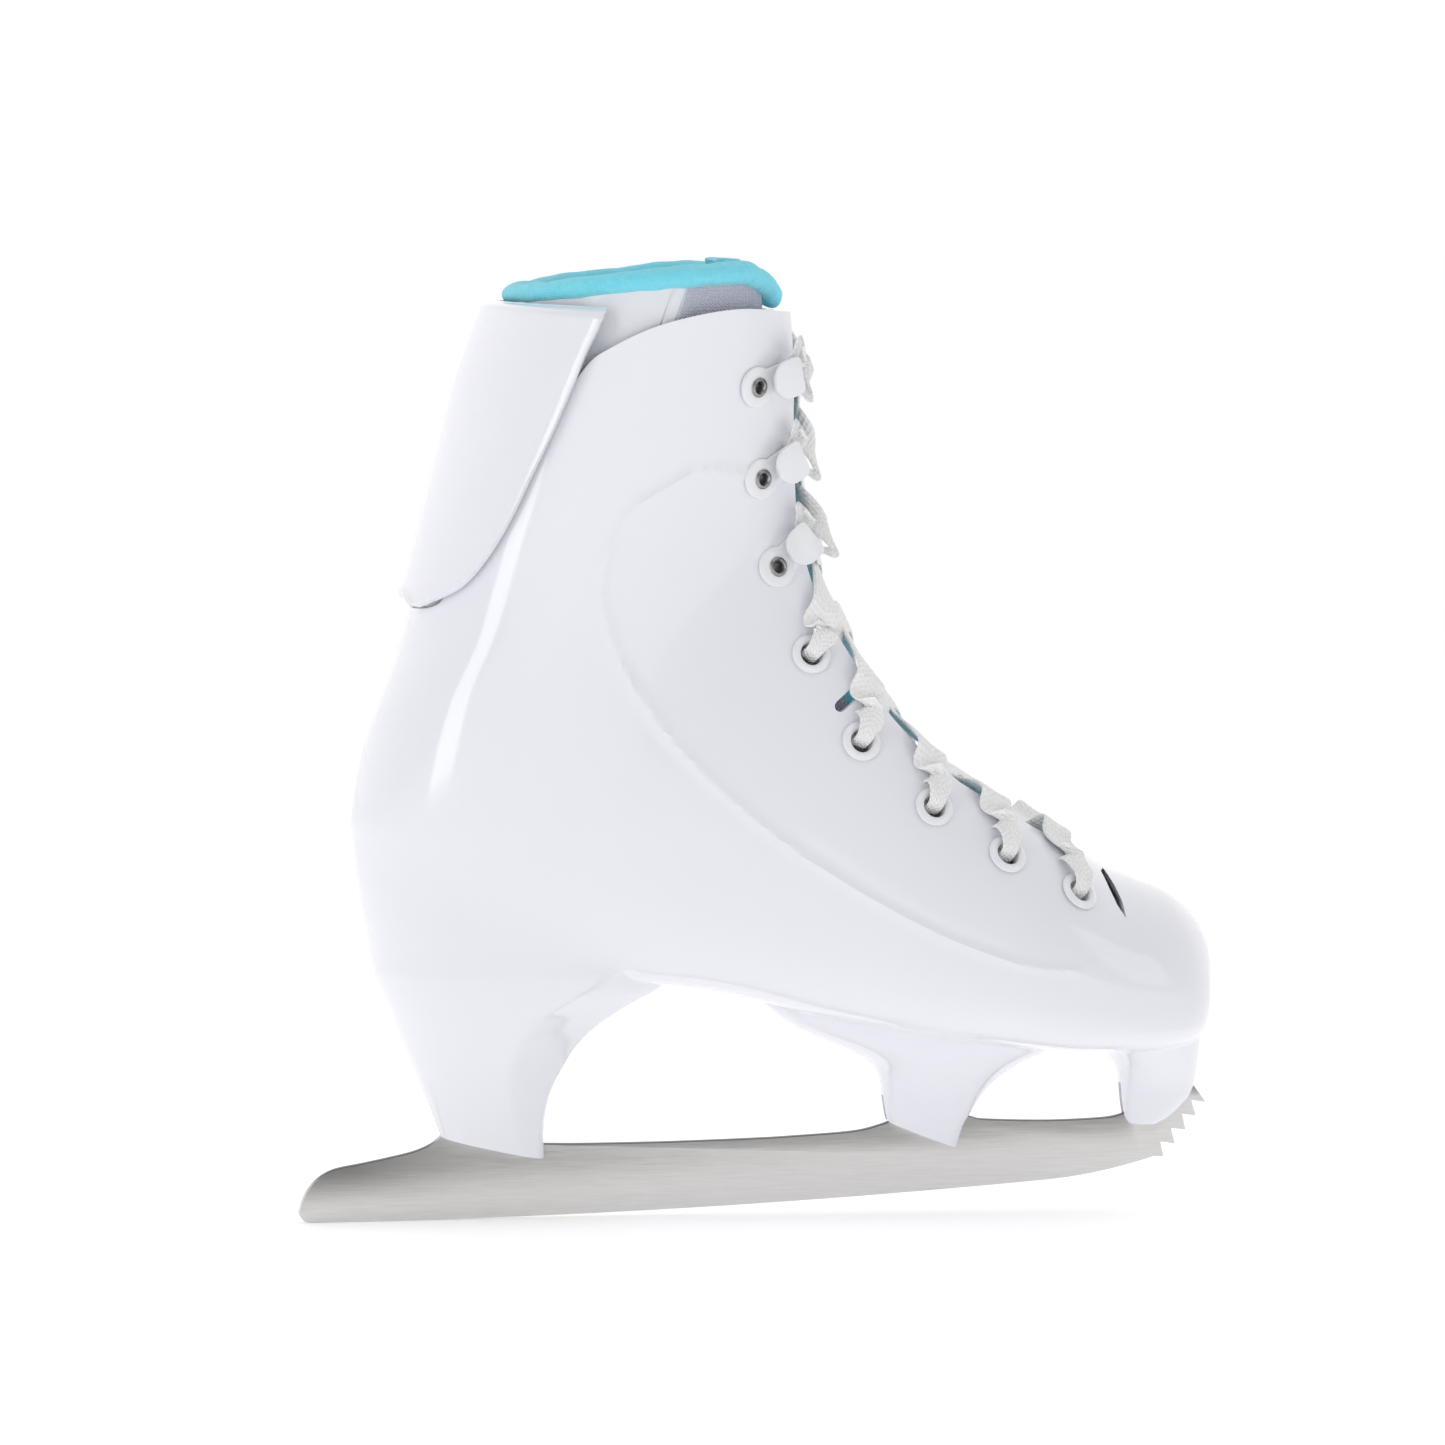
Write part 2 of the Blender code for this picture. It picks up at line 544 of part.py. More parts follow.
def make_fixings():
    """A machine screw from the boot's floor down through each post, and the nut on the blade's tang."""
    for name, x, tang_top in BLADE_SCREWS:
        floor = floor_height(x)
        head_top = floor - GAP
        head = head_top - SCREW_HEAD_HEIGHT + GAP
        tip = tang_top + 1.0
        profile = [(SCREW_RADIUS - 0.6, tip), (SCREW_RADIUS, tip + 0.8), (SCREW_RADIUS, head),
                   (SCREW_HEAD_RADIUS, head), (SCREW_HEAD_RADIUS, head_top - 0.8), (SCREW_HEAD_RADIUS - 1.0, head_top),
                   (1.6, head_top), (1.4, head_top - 1.8)]
        add_object(f"blade_screw_{name}", rod(profile, (x, 0, 0), (0, 0, 1), 12), "steel")
        bore = SCREW_RADIUS + GAP
        low, high = tang_top + GAP, tang_top + GAP + NUT_HEIGHT
        ring = [(bore, low), (NUT_RADIUS - 0.5, low), (NUT_RADIUS, low + 0.5), (NUT_RADIUS, high - 0.5),
                (NUT_RADIUS - 0.5, high), (bore, high)]
        add_object(f"tang_nut_{name}", turned(ring, (x, 0, 0), (0, 0, 1), 12), "steel")


# ---------------------------------------------------------------- layers of the form

def layer(name, stations, ring_low, ring_high, outer, inner, columns, colour, closed=None):
    """A layer of the form over the given rings, between two depths. Each may vary with the station."""
    share = np.linspace(0, 1, columns)
    low, high = (np.broadcast_to(np.asarray(v, float), stations.shape) for v in (ring_low, ring_high))
    ring = low[:, None] + (high - low)[:, None] * share
    station = np.broadcast_to(stations[:, None], ring.shape)
    first = outer(station, ring) if callable(outer) else outer
    second = inner(station, ring) if callable(inner) else inner
    bm = solid_between(on_form(station, ring, first)[0], on_form(station, ring, second)[0], closed)
    return add_object(name, bm, colour)


def from_back(ring):
    """How far a ring value is from the back centre, whichever side it is on."""
    return np.abs(1 - np.mod(ring, 2))


def smooth_step(low, high, value):
    share = np.clip((value - low) / (high - low), 0, 1)
    return share * share * (3 - 2 * share)


def sole_share(station, ring):
    """1 over the flat of the sole, 0 up the sides and the leg."""
    flat = 1 - smooth_step(0.20, 0.34, from_back(ring))
    return flat * smooth_step(1.0, 3.0, station) * (1 - smooth_step(14.3, 15.8, station))


def throat_share(station, ring):
    """1 at the edges of the lacing gap, 0 away from them."""
    width = np.minimum(np.mod(ring, 2), 2 - np.mod(ring, 2)) / ring_at_width(station, 1.0)
    return 1 - smooth_step(56.0, 68.0, width)


def liner_outer(station, ring):
    board = (BOARD_THICKNESS + LAYER_GAP) * sole_share(station, ring)
    return SHELL_WALL + LAYER_GAP + board + LACE_ROOM * throat_share(station, ring)


def liner_inner(station, ring):
    edge = throat_share(station, ring)
    return liner_outer(station, ring) + LINER_THICKNESS * (1 - edge) + LINER_EDGE_THICKNESS * edge


def make_insole():
    stations = np.linspace(3.4, 13.2, 14)
    low = SHELL_WALL + LAYER_GAP
    layer("insole_board", stations, 0.88, 1.12, low, low + BOARD_THICKNESS, 5, "board")
    low += BOARD_THICKNESS + LAYER_GAP + LINER_THICKNESS + LAYER_GAP + 0.6
    stations = np.linspace(3.9, 12.9, 14)
    layer("footbed", stations, 0.89, 1.11, low, low + FOOTBED_THICKNESS, 5, "plush")


def liner_stations():
    return np.concatenate([[0, 0.5, 1.1, 1.8, 2.6, 3.6, 4.8, 6.0], np.linspace(6.8, 21.8, LINER_ROWS)])


def liner_edge(stations):
    """Ring value of the liner's front edges: closed over the toe, then set back from the shell's throat."""
    width = np.where(stations < 6.7, 0.0, read_table(THROAT, stations) + 7.0)
    return ring_at_width(stations, width)


def make_liner():
    stations = liner_stations()
    edge = liner_edge(stations)
    lower = layer("liner", stations, edge, 2 - edge, liner_outer, liner_inner, 21, "mesh", closed=stations < 6.7)
    low = SHELL_WALL + LAYER_GAP
    back = layer("liner_back", np.linspace(18.0, 21.8, 9), 0.45, 1.55, low, low + LINER_THICKNESS, 17, "patent")
    behind = LINER_SPLIT + [(-41.0, 340.0), (-140.0, 340.0), (-140.0, 197.5)]
    boolean(lower, add_object("liner_split_front", prism(behind, 70.0), None), "DIFFERENCE")
    ahead = [(x - 1.6, z + 1.0) for x, z in LINER_SPLIT] + [(-42.6, 340.0), (-140.0, 340.0), (-140.0, 200.5)]
    boolean(back, add_object("liner_split_back", prism(ahead, 70.0), None), "INTERSECT")
    top = [tuple(p) for p in catmull_rom(COLLAR_LINE, np.linspace(0, 6, 13))]
    above = [(-130.0, top[0][1] - 2.0)] + top + [(14.0, 279.0), (60.0, 279.0), (60.0, 340.0), (-130.0, 340.0)]
    for obj in (lower, back):
        boolean(obj, add_object(f"{obj.name}_top_trim", prism(above, 75.0), None), "DIFFERENCE")
        for side in (1, -1):
            roll = tube(collar_side(1.1, 6.6, side, 20), COLLAR_RADIUS + 1.6, 12)
            boolean(obj, add_object(f"{obj.name}_collar_bed_{side}", roll, None), "DIFFERENCE")
    rear_bed = add_object("collar_bed_rear", tube(collar_back_path(1.75), COLLAR_RADIUS + 0.5, 10), None)
    boolean(back, rear_bed, "DIFFERENCE")
    place_origin(back, CUFF_PIVOT)


def make_tongue():
    def lean(station, ring):
        return 9.8 + 1.4 * smooth_step(19.0, 20.6, station) + 1.6 * (1 - smooth_step(6.6, 8.0, station))

    stations = np.linspace(5.9, 20.55, 14)
    half = ring_at_width(stations, np.interp(stations, [5.9, 7.0, 9.0, 12.0, 20.0], [16, 33, 43, 42, 36]))
    layer("tongue", stations, -half, half, lean, lambda s, r: lean(s, r) + TONGUE_THICKNESS, 9, "plush")

    def top_lean(station, ring):
        return 11.2 + 9.0 * smooth_step(20.4, 22.2, station)

    stations = np.linspace(20.75, 21.6, 5)
    half = ring_at_width(stations, np.interp(stations, [20.7, 21.2, 21.6], [34, 31, 22]))
    top = layer("tongue_top", stations, -half, half, top_lean, lambda s, r: top_lean(s, r) + TONGUE_THICKNESS, 9,
                "plush")
    place_origin(top, TONGUE_PIVOT)


def make_cuff():
    """The back cuff: rows from its top edge down to its tip, each from one front edge round the back to the other."""
    front = [locate(x, z) for x, z in CUFF_FRONT_EDGE]
    across = np.linspace(-1, 1, 17)
    station, ring = [], []
    for (front_station, front_ring), back_station in zip(front, CUFF_BACK_STATIONS):
        share = across**2
        station.append(back_station + (front_station - back_station) * share)
        ring.append(1 + across * (1 - front_ring))
    station, ring = np.array(station), np.array(ring)
    outer = on_form(station, ring, -(CUFF_STANDOFF + CUFF_WALL))[0]
    inner = on_form(station, ring, -CUFF_STANDOFF)[0]
    cuff = add_object("rear_cuff", solid_between(outer, inner), "shell")
    place_origin(cuff, CUFF_PIVOT)


def tube(path, radius, around=8):
    """A closed round bar along a path of points."""
    path = [Vector(p) for p in path]
    bm = bmesh.new()
    rings = []
    side = Vector((0, 0, 1))
    for i, point in enumerate(path):
        ahead = (path[min(i + 1, len(path) - 1)] - path[max(i - 1, 0)]).normalized()
        side = (side - ahead * side.dot(ahead)).normalized()
        other = ahead.cross(side)
        ring = []
        for k in range(around):
            angle = 2 * math.pi * k / around
            ring.append(bm.verts.new(point + radius * (side * math.cos(angle) + other * math.sin(angle))))
        rings.append(ring)
    for low, high in zip(rings, rings[1:]):
        for k in range(around):
            m = (k + 1) % around
            bm.faces.new((low[k], high[k], high[m], low[m]))
    bm.faces.new(rings[0])
    bm.faces.new(rings[-1])
    return bm


def collar_side(start, end, side, rows):
    """Points of the collar roll's centre line between two places of COLLAR_LINE, on one side."""
    points = []
    for x, z in catmull_rom(COLLAR_LINE, np.linspace(start, end, rows)):
        station, ring = locate(x, z)
        points.append(on_form(station, ring if side > 0 else 2 - ring, COLLAR_DEPTH)[0])
    return points


def collar_back_path(end):
    rear = on_form(21.1, 1.0, COLLAR_DEPTH)[0]
    return collar_side(0.35, end, -1, 7)[::-1] + [rear] + collar_side(0.35, end, 1, 7)


def make_collar():
    """The plush roll on the liner's top edge: one length on the moving back, one on each front corner."""
    back = add_object("collar_back", tube(collar_back_path(1.62), COLLAR_RADIUS), "plush")
    place_origin(back, CUFF_PIVOT)
    for name, side in (("collar_left", 1), ("collar_right", -1)):
        add_object(name, tube(collar_side(1.78, 6.0, side, 10), COLLAR_RADIUS), "plush")


# ---------------------------------------------------------------- eyelets, hooks and lace

def make_eyelets():
    profile = [(EYELET_HOLE_RADIUS, -3.6), (EYELET_BARREL_RADIUS, -3.6), (EYELET_BARREL_RADIUS, GAP),
               (EYELET_FLANGE_RADIUS, GAP), (EYELET_FLANGE_RADIUS - 0.3, 1.0), (EYELET_HOLE_RADIUS + 1.2, 1.4),
               (EYELET_HOLE_RADIUS, 0.7)]
    for side, label in ((1, "left"), (-1, "right")):
        for number, place in enumerate(EYELETS):
            centre, normal = lace_point(place, side)
            add_object(f"eyelet_{label}_{number + 1}", turned(profile, centre, normal, 12), "enamel")


def lace_axes(place, side):
    """At a hook or eyelet: its point, the outward normal, and directions towards the throat and up the rows."""
    station, ring = locate(*place)
    if side < 0:
        ring = -ring
    point, normal = (Vector(v) for v in on_form(station, ring))
    inwards = Vector(on_form(station, ring - 0.04 * side)[0]) - point
    inwards = (inwards - normal * inwards.dot(normal)).normalized()
    upwards = normal.cross(inwards) * side
    return point, normal, inwards, upwards


def hook_block(name, point, axes, low, high):
    """A block in a hook's own directions: towards the throat, up the rows, outwards."""
    bm = bmesh.new()
    bmesh.ops.create_cube(bm, size=1)
    low, high = Vector(low), Vector(high)
    shape = Matrix.Translation((low + high) / 2) @ Matrix.Diagonal((*(high - low), 1))
    bm.transform(Matrix.Translation(point) @ Matrix(axes).transposed().to_4x4() @ shape)
    return add_object(name, bm, None)


def make_hooks():
    """Each lace hook: a riveted base disc, a strip from it to the neck on the throat side, and a plate back over it."""
    base_low, base_high = GAP, GAP + HOOK_METAL
    top_low = base_high + HOOK_PLATE_GAP
    top_high = top_low + HOOK_METAL
    neck = HOOK_REACH + 5.4
    for side, label in ((1, "left"), (-1, "right")):
        for number, place in enumerate(HOOKS):
            point, normal, inwards, upwards = lace_axes(place, side)
            axes = (inwards, upwards, normal)
            disc = HOOK_DISC_RADIUS
            base = [(2.0, base_low), (disc, base_low), (disc, base_high), (2.0, base_high)]
            plate = [(disc - 0.8, top_low), (disc - 0.4, top_low + 0.4), (disc - 0.8, top_high)]
            hook = add_object(f"hook_{label}_{number + 1}", turned(base, point, normal, 18), "enamel")
            over = point + inwards * HOOK_REACH
            extras = [
                add_object(f"{hook.name}_plate", rod(plate, over, normal, 18, 0.05), None),
                hook_block(f"{hook.name}_strip", point, axes, (4.0, -3.6, base_low + 0.05),
                           (neck - 0.1, 3.6, base_high - 0.05)),
                hook_block(f"{hook.name}_neck", point, axes, (neck - 1.0, -3.1, base_low + 0.2),
                           (neck, 3.1, top_high - 0.2)),
            ]
            for extra in extras:
                boolean(hook, extra, "UNION")
            low, high = -SHELL_WALL - 0.8, base_high + GAP
            rivet = [(2.7, low - 0.8), (2.7, low), (1.7, low), (1.7, high), (2.8, high), (2.3, high + 0.6),
                     (1.1, high + 0.6), (1.0, high - 1.6)]
            add_object(f"hook_rivet_{label}_{number + 1}", rod(rivet, point, normal, 12), "steel")


def crossing(start, end, side, over, dives, sign):
    """Lace stations across the throat, from (station, width) on one side to the same on the other."""
    def throat(station):
        return float(read_table(THROAT, station))

    (station_a, width_a), (station_b, width_b) = start, end
    edge_a, edge_b = throat(station_a), throat(station_b)
    middle = (station_a + station_b) / 2
    edge = throat(middle)
    low = 4.4 if over else 6.2
    places = [(edge_a + 6, -1.4), (edge_a + 0.5, -3.4), (edge * 0.6, low - 2.2), (0.0, low)]
    if dives:
        places += [(-edge * 0.55, low + 0.6), (-(edge_b - 2.0), 5.4), (-(edge_b + 4), 4.7)]
    else:
        places += [(-edge * 0.6, low - 2.2)]
    if station_a > FIRST_HOOK_STATION:
        places = places[2:]
    made = []
    for width, depth in places:
        share = (width_a - width) / (width_a + width_b)
        station = station_a + (station_b - station_a) * share
        ring = ring_at_width(station, width) * side
        point, _ = on_form(station, ring, depth)
        up = Vector(on_form(station + 0.2, ring, depth)[0] - on_form(station - 0.2, ring, depth)[0]).normalized()
        made.append((Vector(point), up * sign, LACE_WIDTH, LACE_THICKNESS))
    return made


def through_eyelet(place, side, sign):
    """Lace stations up through an eyelet, from the inside out."""
    point, normal, inwards, up = lace_axes(place, side)
    steps = [(6.5, -4.7, 6.0, 1.2), (2.6, -4.6, 5.0, 1.4), (0.2, -3.2, 4.6, 1.5), (0.0, -0.8, 4.6, 1.5),
             (0.8, 2.2, 4.6, 1.3), (3.4, 3.4, 5.4, 1.2), (7.6, 2.9, 6.5, 1.2)]
    return [(point + inwards * u + normal * h, up * sign, w, t) for u, h, w, t in steps]


def round_hook(place, side, sign):
    """Lace stations round the back of a hook's neck, from below to above; the ribbon turns over on the way."""
    point, normal, inwards, up = lace_axes(place, side)
    height = GAP + HOOK_METAL + HOOK_PLATE_GAP / 2
    steps = [(6.0, -8.8, 3.0, up, 3.6, 1.2), (3.2, -6.4, height, inwards * 0.6 + up * 0.6, 2.0, 1.2),
             (-0.3, -3.7, height, normal, 2.0, 1.5), (-0.4, 0.0, height, normal, 2.0, 1.5),
             (-0.3, 3.7, height, normal, 2.0, 1.5), (3.2, 6.4, height, inwards * 0.6 - up * 0.6, 2.0, 1.2),
             (6.0, 8.8, 3.0, -up, 3.6, 1.2)]
    point = point + inwards * (HOOK_REACH + 3.2)
    return [(point + inwards * u + up * v + normal * h, (across * sign).normalized(), w, t)
            for u, v, h, across, w, t in steps]


def width_of(place):
    station, ring = locate(*place)
    return station, ring / ring_at_width(station, 1.0)


def half_lace(side):
    """One half of the lace, from the middle of the bottom bar up to its tucked end."""
    stations = []
    station, width = width_of(EYELETS[0])
    for share in (0.0, 0.33, 0.66):
        ring = ring_at_width(station, width * share) * side
        point, _ = on_form(station, ring, 4.8)
        up = Vector(on_form(station + 0.2, ring)[0] - on_form(station - 0.2, ring)[0]).normalized()
        stations.append((Vector(point), up, 5.0, LACE_THICKNESS))
    sign = 1
    stations += through_eyelet(EYELETS[0], side, sign)[1:]
    rows = EYELETS + HOOKS
    for number, (place, following) in enumerate(zip(rows, rows[1:])):
        dives = number + 1 < len(EYELETS)
        stations += crossing(width_of(place), width_of(following), side, side > 0, dives, sign)
        side = -side
        stations += (through_eyelet if dives else round_hook)(following, side, sign)
        if not dives:
            sign = -sign
    station, width = width_of(HOOKS[-1])
    stations += crossing((station, width), (station + 0.75, width), side, side < 0, True, sign)
    return stations


def make_lace():
    left, right = half_lace(1), half_lace(-1)
    # The right half runs backwards into the left one; a ribbon's width means the same either way along it.
    stations = right[:0:-1] + left
    numbers = np.array([[*point, *across, width, thick] for point, across, width, thick in stations])
    points = numbers[:, :3]
    ahead = np.gradient(points, axis=0)
    ahead /= np.linalg.norm(ahead, axis=1, keepdims=True)
    across = numbers[:, 3:6]
    across = across - ahead * (across * ahead).sum(1, keepdims=True)
    across /= np.linalg.norm(across, axis=1, keepdims=True)
    up = np.cross(ahead, across)
    bm = bmesh.new()
    rings = []
    for i, point in enumerate(points):
        half_width, half_thick = numbers[i, 6] / 2, numbers[i, 7] / 2
        corners = ((1, 1), (-1, 1), (-1, -1), (1, -1))
        rings.append([bm.verts.new(point + across[i] * a * half_width + up[i] * b * half_thick) for a, b in corners])
    for low, high in zip(rings, rings[1:]):
        for k in range(4):
            m = (k + 1) % 4
            bm.faces.new((low[k], high[k], high[m], low[m]))
    bm.faces.new(rings[0])
    bm.faces.new(rings[-1])
    add_object("lace", bm, "lace")


def make_all():
    for obj in list(bpy.data.objects):
        bpy.data.objects.remove(obj)
    make_shell()
    make_blade()
    make_fixings()
    make_insole()
    make_liner()
    make_tongue()
    make_cuff()
    make_collar()
    make_eyelets()
    make_hooks()
    make_lace()


make_all()
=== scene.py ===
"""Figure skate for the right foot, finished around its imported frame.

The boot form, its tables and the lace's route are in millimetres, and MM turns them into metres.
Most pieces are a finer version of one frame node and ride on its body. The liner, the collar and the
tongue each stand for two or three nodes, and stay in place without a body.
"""

import math

import bmesh
import bpy
import numpy as np
from mathutils import Matrix, Vector


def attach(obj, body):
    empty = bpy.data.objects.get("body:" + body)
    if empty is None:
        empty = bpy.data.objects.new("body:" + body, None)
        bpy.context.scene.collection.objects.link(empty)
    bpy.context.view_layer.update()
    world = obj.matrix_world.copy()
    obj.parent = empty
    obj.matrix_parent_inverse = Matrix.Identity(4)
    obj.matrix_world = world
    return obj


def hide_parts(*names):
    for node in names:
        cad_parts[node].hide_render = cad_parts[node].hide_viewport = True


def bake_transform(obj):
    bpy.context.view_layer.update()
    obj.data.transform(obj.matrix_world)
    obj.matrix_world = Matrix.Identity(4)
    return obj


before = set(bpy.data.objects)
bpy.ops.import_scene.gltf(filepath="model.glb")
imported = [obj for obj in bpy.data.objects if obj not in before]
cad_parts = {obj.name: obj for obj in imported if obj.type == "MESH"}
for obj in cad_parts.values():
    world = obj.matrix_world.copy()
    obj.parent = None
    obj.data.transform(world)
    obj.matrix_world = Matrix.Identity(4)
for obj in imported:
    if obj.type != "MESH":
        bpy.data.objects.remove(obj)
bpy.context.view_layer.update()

MM = 0.001
GAP = 0.3
LAYER_GAP = 0.9

SHELL_WALL = 3.0
BOARD_THICKNESS = 2.0
LINER_THICKNESS = 4.5
LINER_EDGE_THICKNESS = 2.2
CUFF_WALL = 2.6
CUFF_STANDOFF = 1.4
COLLAR_DEPTH = 6.0
LACE_WIDTH = 8.0
LACE_THICKNESS = 1.2
LACE_ROOM = 2.6

BLADE_THICKNESS = 3.6
ROCKER_RADIUS = 3000.0
TAIL_CONTACT_X = -140.5
PICK_RISE_X = 92.0
PICK_RISE_RADIUS = 155.0

EYELET_FLANGE_RADIUS = 6.3
EYELET_BARREL_RADIUS = 4.2
EYELET_HOLE_RADIUS = 3.5
HOOK_DISC_RADIUS = 6.3
HOOK_REACH = 9.0
HOOK_PLATE_GAP = 3.0
HOOK_METAL = 1.0
RIVET_HOLE_RADIUS = 1.9

CUFF_BEAD_HEIGHT = 1.0
CUFF_BEAD_WIDTH = 3.2
CUFF_LIP = 5.5
CUFF_TIP_DROP = 0.6
COLLAR_HALF_WIDTH = 4.3
COLLAR_HALF_HEIGHT = 3.4
COLLAR_UNEVENNESS = 0.5

# One row for each cross-section, from the toe up the leg: front point x, z; back point x, z; half-width;
# where it is widest, from 0 at the front to 1 at the back; how square its front and its back are.
STATIONS = [
    (143.7, 79.5, 143.7, 79.5, 0.0, 0.50, 2.0, 2.0),
    (143.0, 85.0, 143.4, 72.0, 14.0, 0.50, 2.0, 2.2),
    (141.0, 90.5, 142.8, 64.0, 22.0, 0.55, 2.0, 2.4),
    (136.8, 95.8, 141.0, 57.0, 30.0, 0.58, 2.0, 2.8),
    (130.0, 100.6, 136.0, 53.2, 36.5, 0.60, 2.1, 3.2),
    (120.5, 104.6, 126.5, 52.0, 42.0, 0.62, 2.1, 3.5),
    (108.0, 110.2, 112.5, 51.8, 46.0, 0.63, 2.1, 3.6),
    (92.5, 122.5, 96.0, 52.2, 48.8, 0.64, 2.1, 3.6),
    (76.0, 134.6, 75.0, 54.5, 49.6, 0.63, 2.1, 3.4),
    (59.5, 148.5, 48.0, 57.5, 47.8, 0.60, 2.1, 3.2),
    (45.5, 165.0, 18.0, 63.5, 44.8, 0.56, 2.1, 3.0),
    (36.0, 181.0, -12.0, 71.0, 42.0, 0.52, 2.1, 2.9),
    (29.5, 194.5, -45.0, 75.0, 39.6, 0.50, 2.1, 2.7),
    (24.8, 205.5, -82.0, 77.5, 38.0, 0.49, 2.1, 2.5),
    (21.8, 215.5, -110.0, 84.5, 37.0, 0.49, 2.1, 2.3),
    (19.8, 225.0, -123.5, 100.0, 36.8, 0.50, 2.1, 2.2),
    (18.4, 234.5, -127.1, 118.0, 37.0, 0.50, 2.1, 2.1),
    (17.4, 244.5, -122.5, 148.0, 37.6, 0.50, 2.1, 2.1),
    (16.4, 256.0, -111.5, 179.0, 39.2, 0.50, 2.1, 2.1),
    (15.2, 268.5, -100.0, 222.0, 42.0, 0.50, 2.1, 2.1),
    (13.4, 281.5, -91.0, 259.0, 44.0, 0.50, 2.1, 2.1),
    (11.4, 295.0, -81.0, 287.5, 45.2, 0.50, 2.1, 2.1),
    (8.0, 316.0, -74.0, 312.0, 46.0, 0.50, 2.1, 2.1),
]
TOP_STATION = len(STATIONS) - 1
TOE_CAP_STATION = 3

# The toe of a right foot leans inwards, towards +Y: station and sideways shift.
TOE_LEAN = [(0, 6.0), (3, 5.6), (5, 3.8), (7, 1.6), (9, 0.3), (11, 0.0), (TOP_STATION, 0.0)]

# Throat of the shell: station and half-width of the opening.
THROAT = [(6.3, 7.0), (6.5, 14.0), (6.8, 19.0), (7.3, 23.5), (8.3, 28.0), (9.5, 30.5), (11.0, 30.0),
          (12.5, 27.0), (14.5, 23.0), (17.0, 21.0), (20.0, 20.5), (22.0, 20.5)]

# Side-view outlines (x, z).
SHELL_TOP_EDGE = [(30.0, 281.0), (9.0, 283.2), (-11.0, 284.4), (-33.0, 280.3), (-49.0, 273.3),
                  (-58.0, 266.0), (-72.0, 243.0), (-86.0, 219.0), (-97.0, 199.5), (-104.0, 192.6),
                  (-125.0, 191.5)]
CUFF_FRONT_EDGE = [(-50.2, 286.0), (-52.4, 279.0), (-57.2, 269.0), (-63.8, 252.7), (-71.8, 235.2),
                   (-77.0, 224.0), (-82.5, 213.0), (-89.0, 203.6), (-95.5, 197.0), (-101.0, 193.6),
                   (-105.0, 192.6)]
CUFF_BACK_STATIONS = [20.98, 20.75, 20.45, 20.0, 19.6, 19.3, 19.02, 18.78, 18.6, 18.48, 18.42]
COLLAR_LINE = [(-82.0, 288.6), (-60.0, 291.0), (-35.0, 293.2), (-12.0, 295.0), (-2.0, 295.0),
               (5.0, 291.5), (9.4, 285.5)]

# Sections of the three blade posts: height, back x, front x, half-width.
HEEL_POST = [
    (18.0, -96.2, -66.6, 8.4), (28.0, -99.6, -66.7, 9.2), (35.2, -102.2, -65.9, 10.8),
    (41.6, -104.8, -64.0, 13.2), (47.9, -107.4, -60.8, 16.0), (54.3, -110.0, -56.8, 19.2),
    (60.6, -112.6, -50.5, 22.2), (67.0, -115.0, -40.8, 24.8), (73.0, -117.8, -30.0, 26.8),
    (80.0, -120.4, -24.0, 28.4), (88.0, -122.6, -22.0, 29.4), (96.0, -123.6, -22.0, 29.6),
    (105.0, -123.8, -22.0, 29.0), (114.0, -123.0, -22.0, 27.6),
]
BALL_POST = [
    (18.0, 42.6, 63.4, 7.6), (26.0, 42.2, 65.6, 8.2), (31.0, 41.0, 68.4, 9.0), (37.0, 40.1, 72.2, 10.8),
    (42.0, 39.4, 77.0, 13.6), (47.0, 36.5, 84.5, 17.8), (51.0, 30.0, 93.0, 21.5),
    (55.0, 21.0, 99.0, 24.2), (60.0, 10.0, 102.0, 25.4), (66.0, 3.0, 103.0, 24.4),
    (72.0, 0.0, 103.0, 21.0),
]
TOE_POST = [
    (26.9, 118.6, 128.6, 7.0), (28.6, 117.5, 131.8, 7.6), (31.0, 116.9, 134.6, 8.2),
    (34.6, 116.4, 138.0, 9.2), (38.4, 116.1, 139.6, 10.6), (42.5, 115.6, 140.3, 13.4),
    (47.0, 113.4, 140.8, 17.4), (51.0, 109.0, 141.1, 21.6), (55.0, 104.0, 141.3, 24.6),
    (62.0, 100.0, 141.0, 25.0), (68.0, 100.0, 139.6, 23.0),
]
HEEL_POST_FOOT = ((-98.3, 26.3), (-71.5, 20.2))
BALL_POST_FOOT = ((43.2, 28.2), (60.5, 21.4))

# Upper outline of the blade in side view, from the tail forward, with the tangs that go up into the posts.
BLADE_TOP = [
    (-143.5, 3.0), (-142.3, 7.1), (-140.4, 10.6), (-137.5, 13.7), (-133.8, 15.9), (-130.2, 17.0),
    (-124.0, 18.1), (-114.9, 19.9), (-107.6, 21.6), (-102.1, 23.9), (-98.5, 27.0), (-95.0, 31.0),
    (-91.0, 40.0), (-81.0, 40.0), (-76.0, 30.0), (-69.0, 24.4), (-62.0, 23.3), (-30.0, 23.2),
    (0.0, 23.8), (14.4, 24.4), (30.3, 25.4), (38.3, 27.0), (44.0, 29.5), (49.0, 36.0), (59.0, 36.0),
    (63.0, 31.0), (68.8, 29.4), (73.4, 28.5), (91.9, 27.8), (107.3, 28.1), (115.0, 28.9), (119.0, 31.0),
    (121.5, 37.0), (130.5, 37.0), (135.0, 37.2),
]
PICK_TIPS = [(143.6, 32.9), (140.5, 28.6), (137.2, 24.2), (133.8, 19.8), (130.2, 15.7)]
PICK_ROOTS = [(139.0, 33.6), (136.1, 29.3), (132.5, 24.8), (129.1, 20.5)]

# Lace rows in side view (x, z), alike on both sides: five eyelets from the toe up, then three hooks.
EYELETS = [(96.0, 104.0), (72.4, 116.2), (49.6, 131.6), (28.6, 151.0), (13.2, 178.0)]
HOOKS = [(2.4, 204.6), (-2.4, 232.0), (-4.4, 261.0)]

# Above this station the lace leaves its row round a hook, not up through an eyelet.
FIRST_HOOK_STATION = 14.0


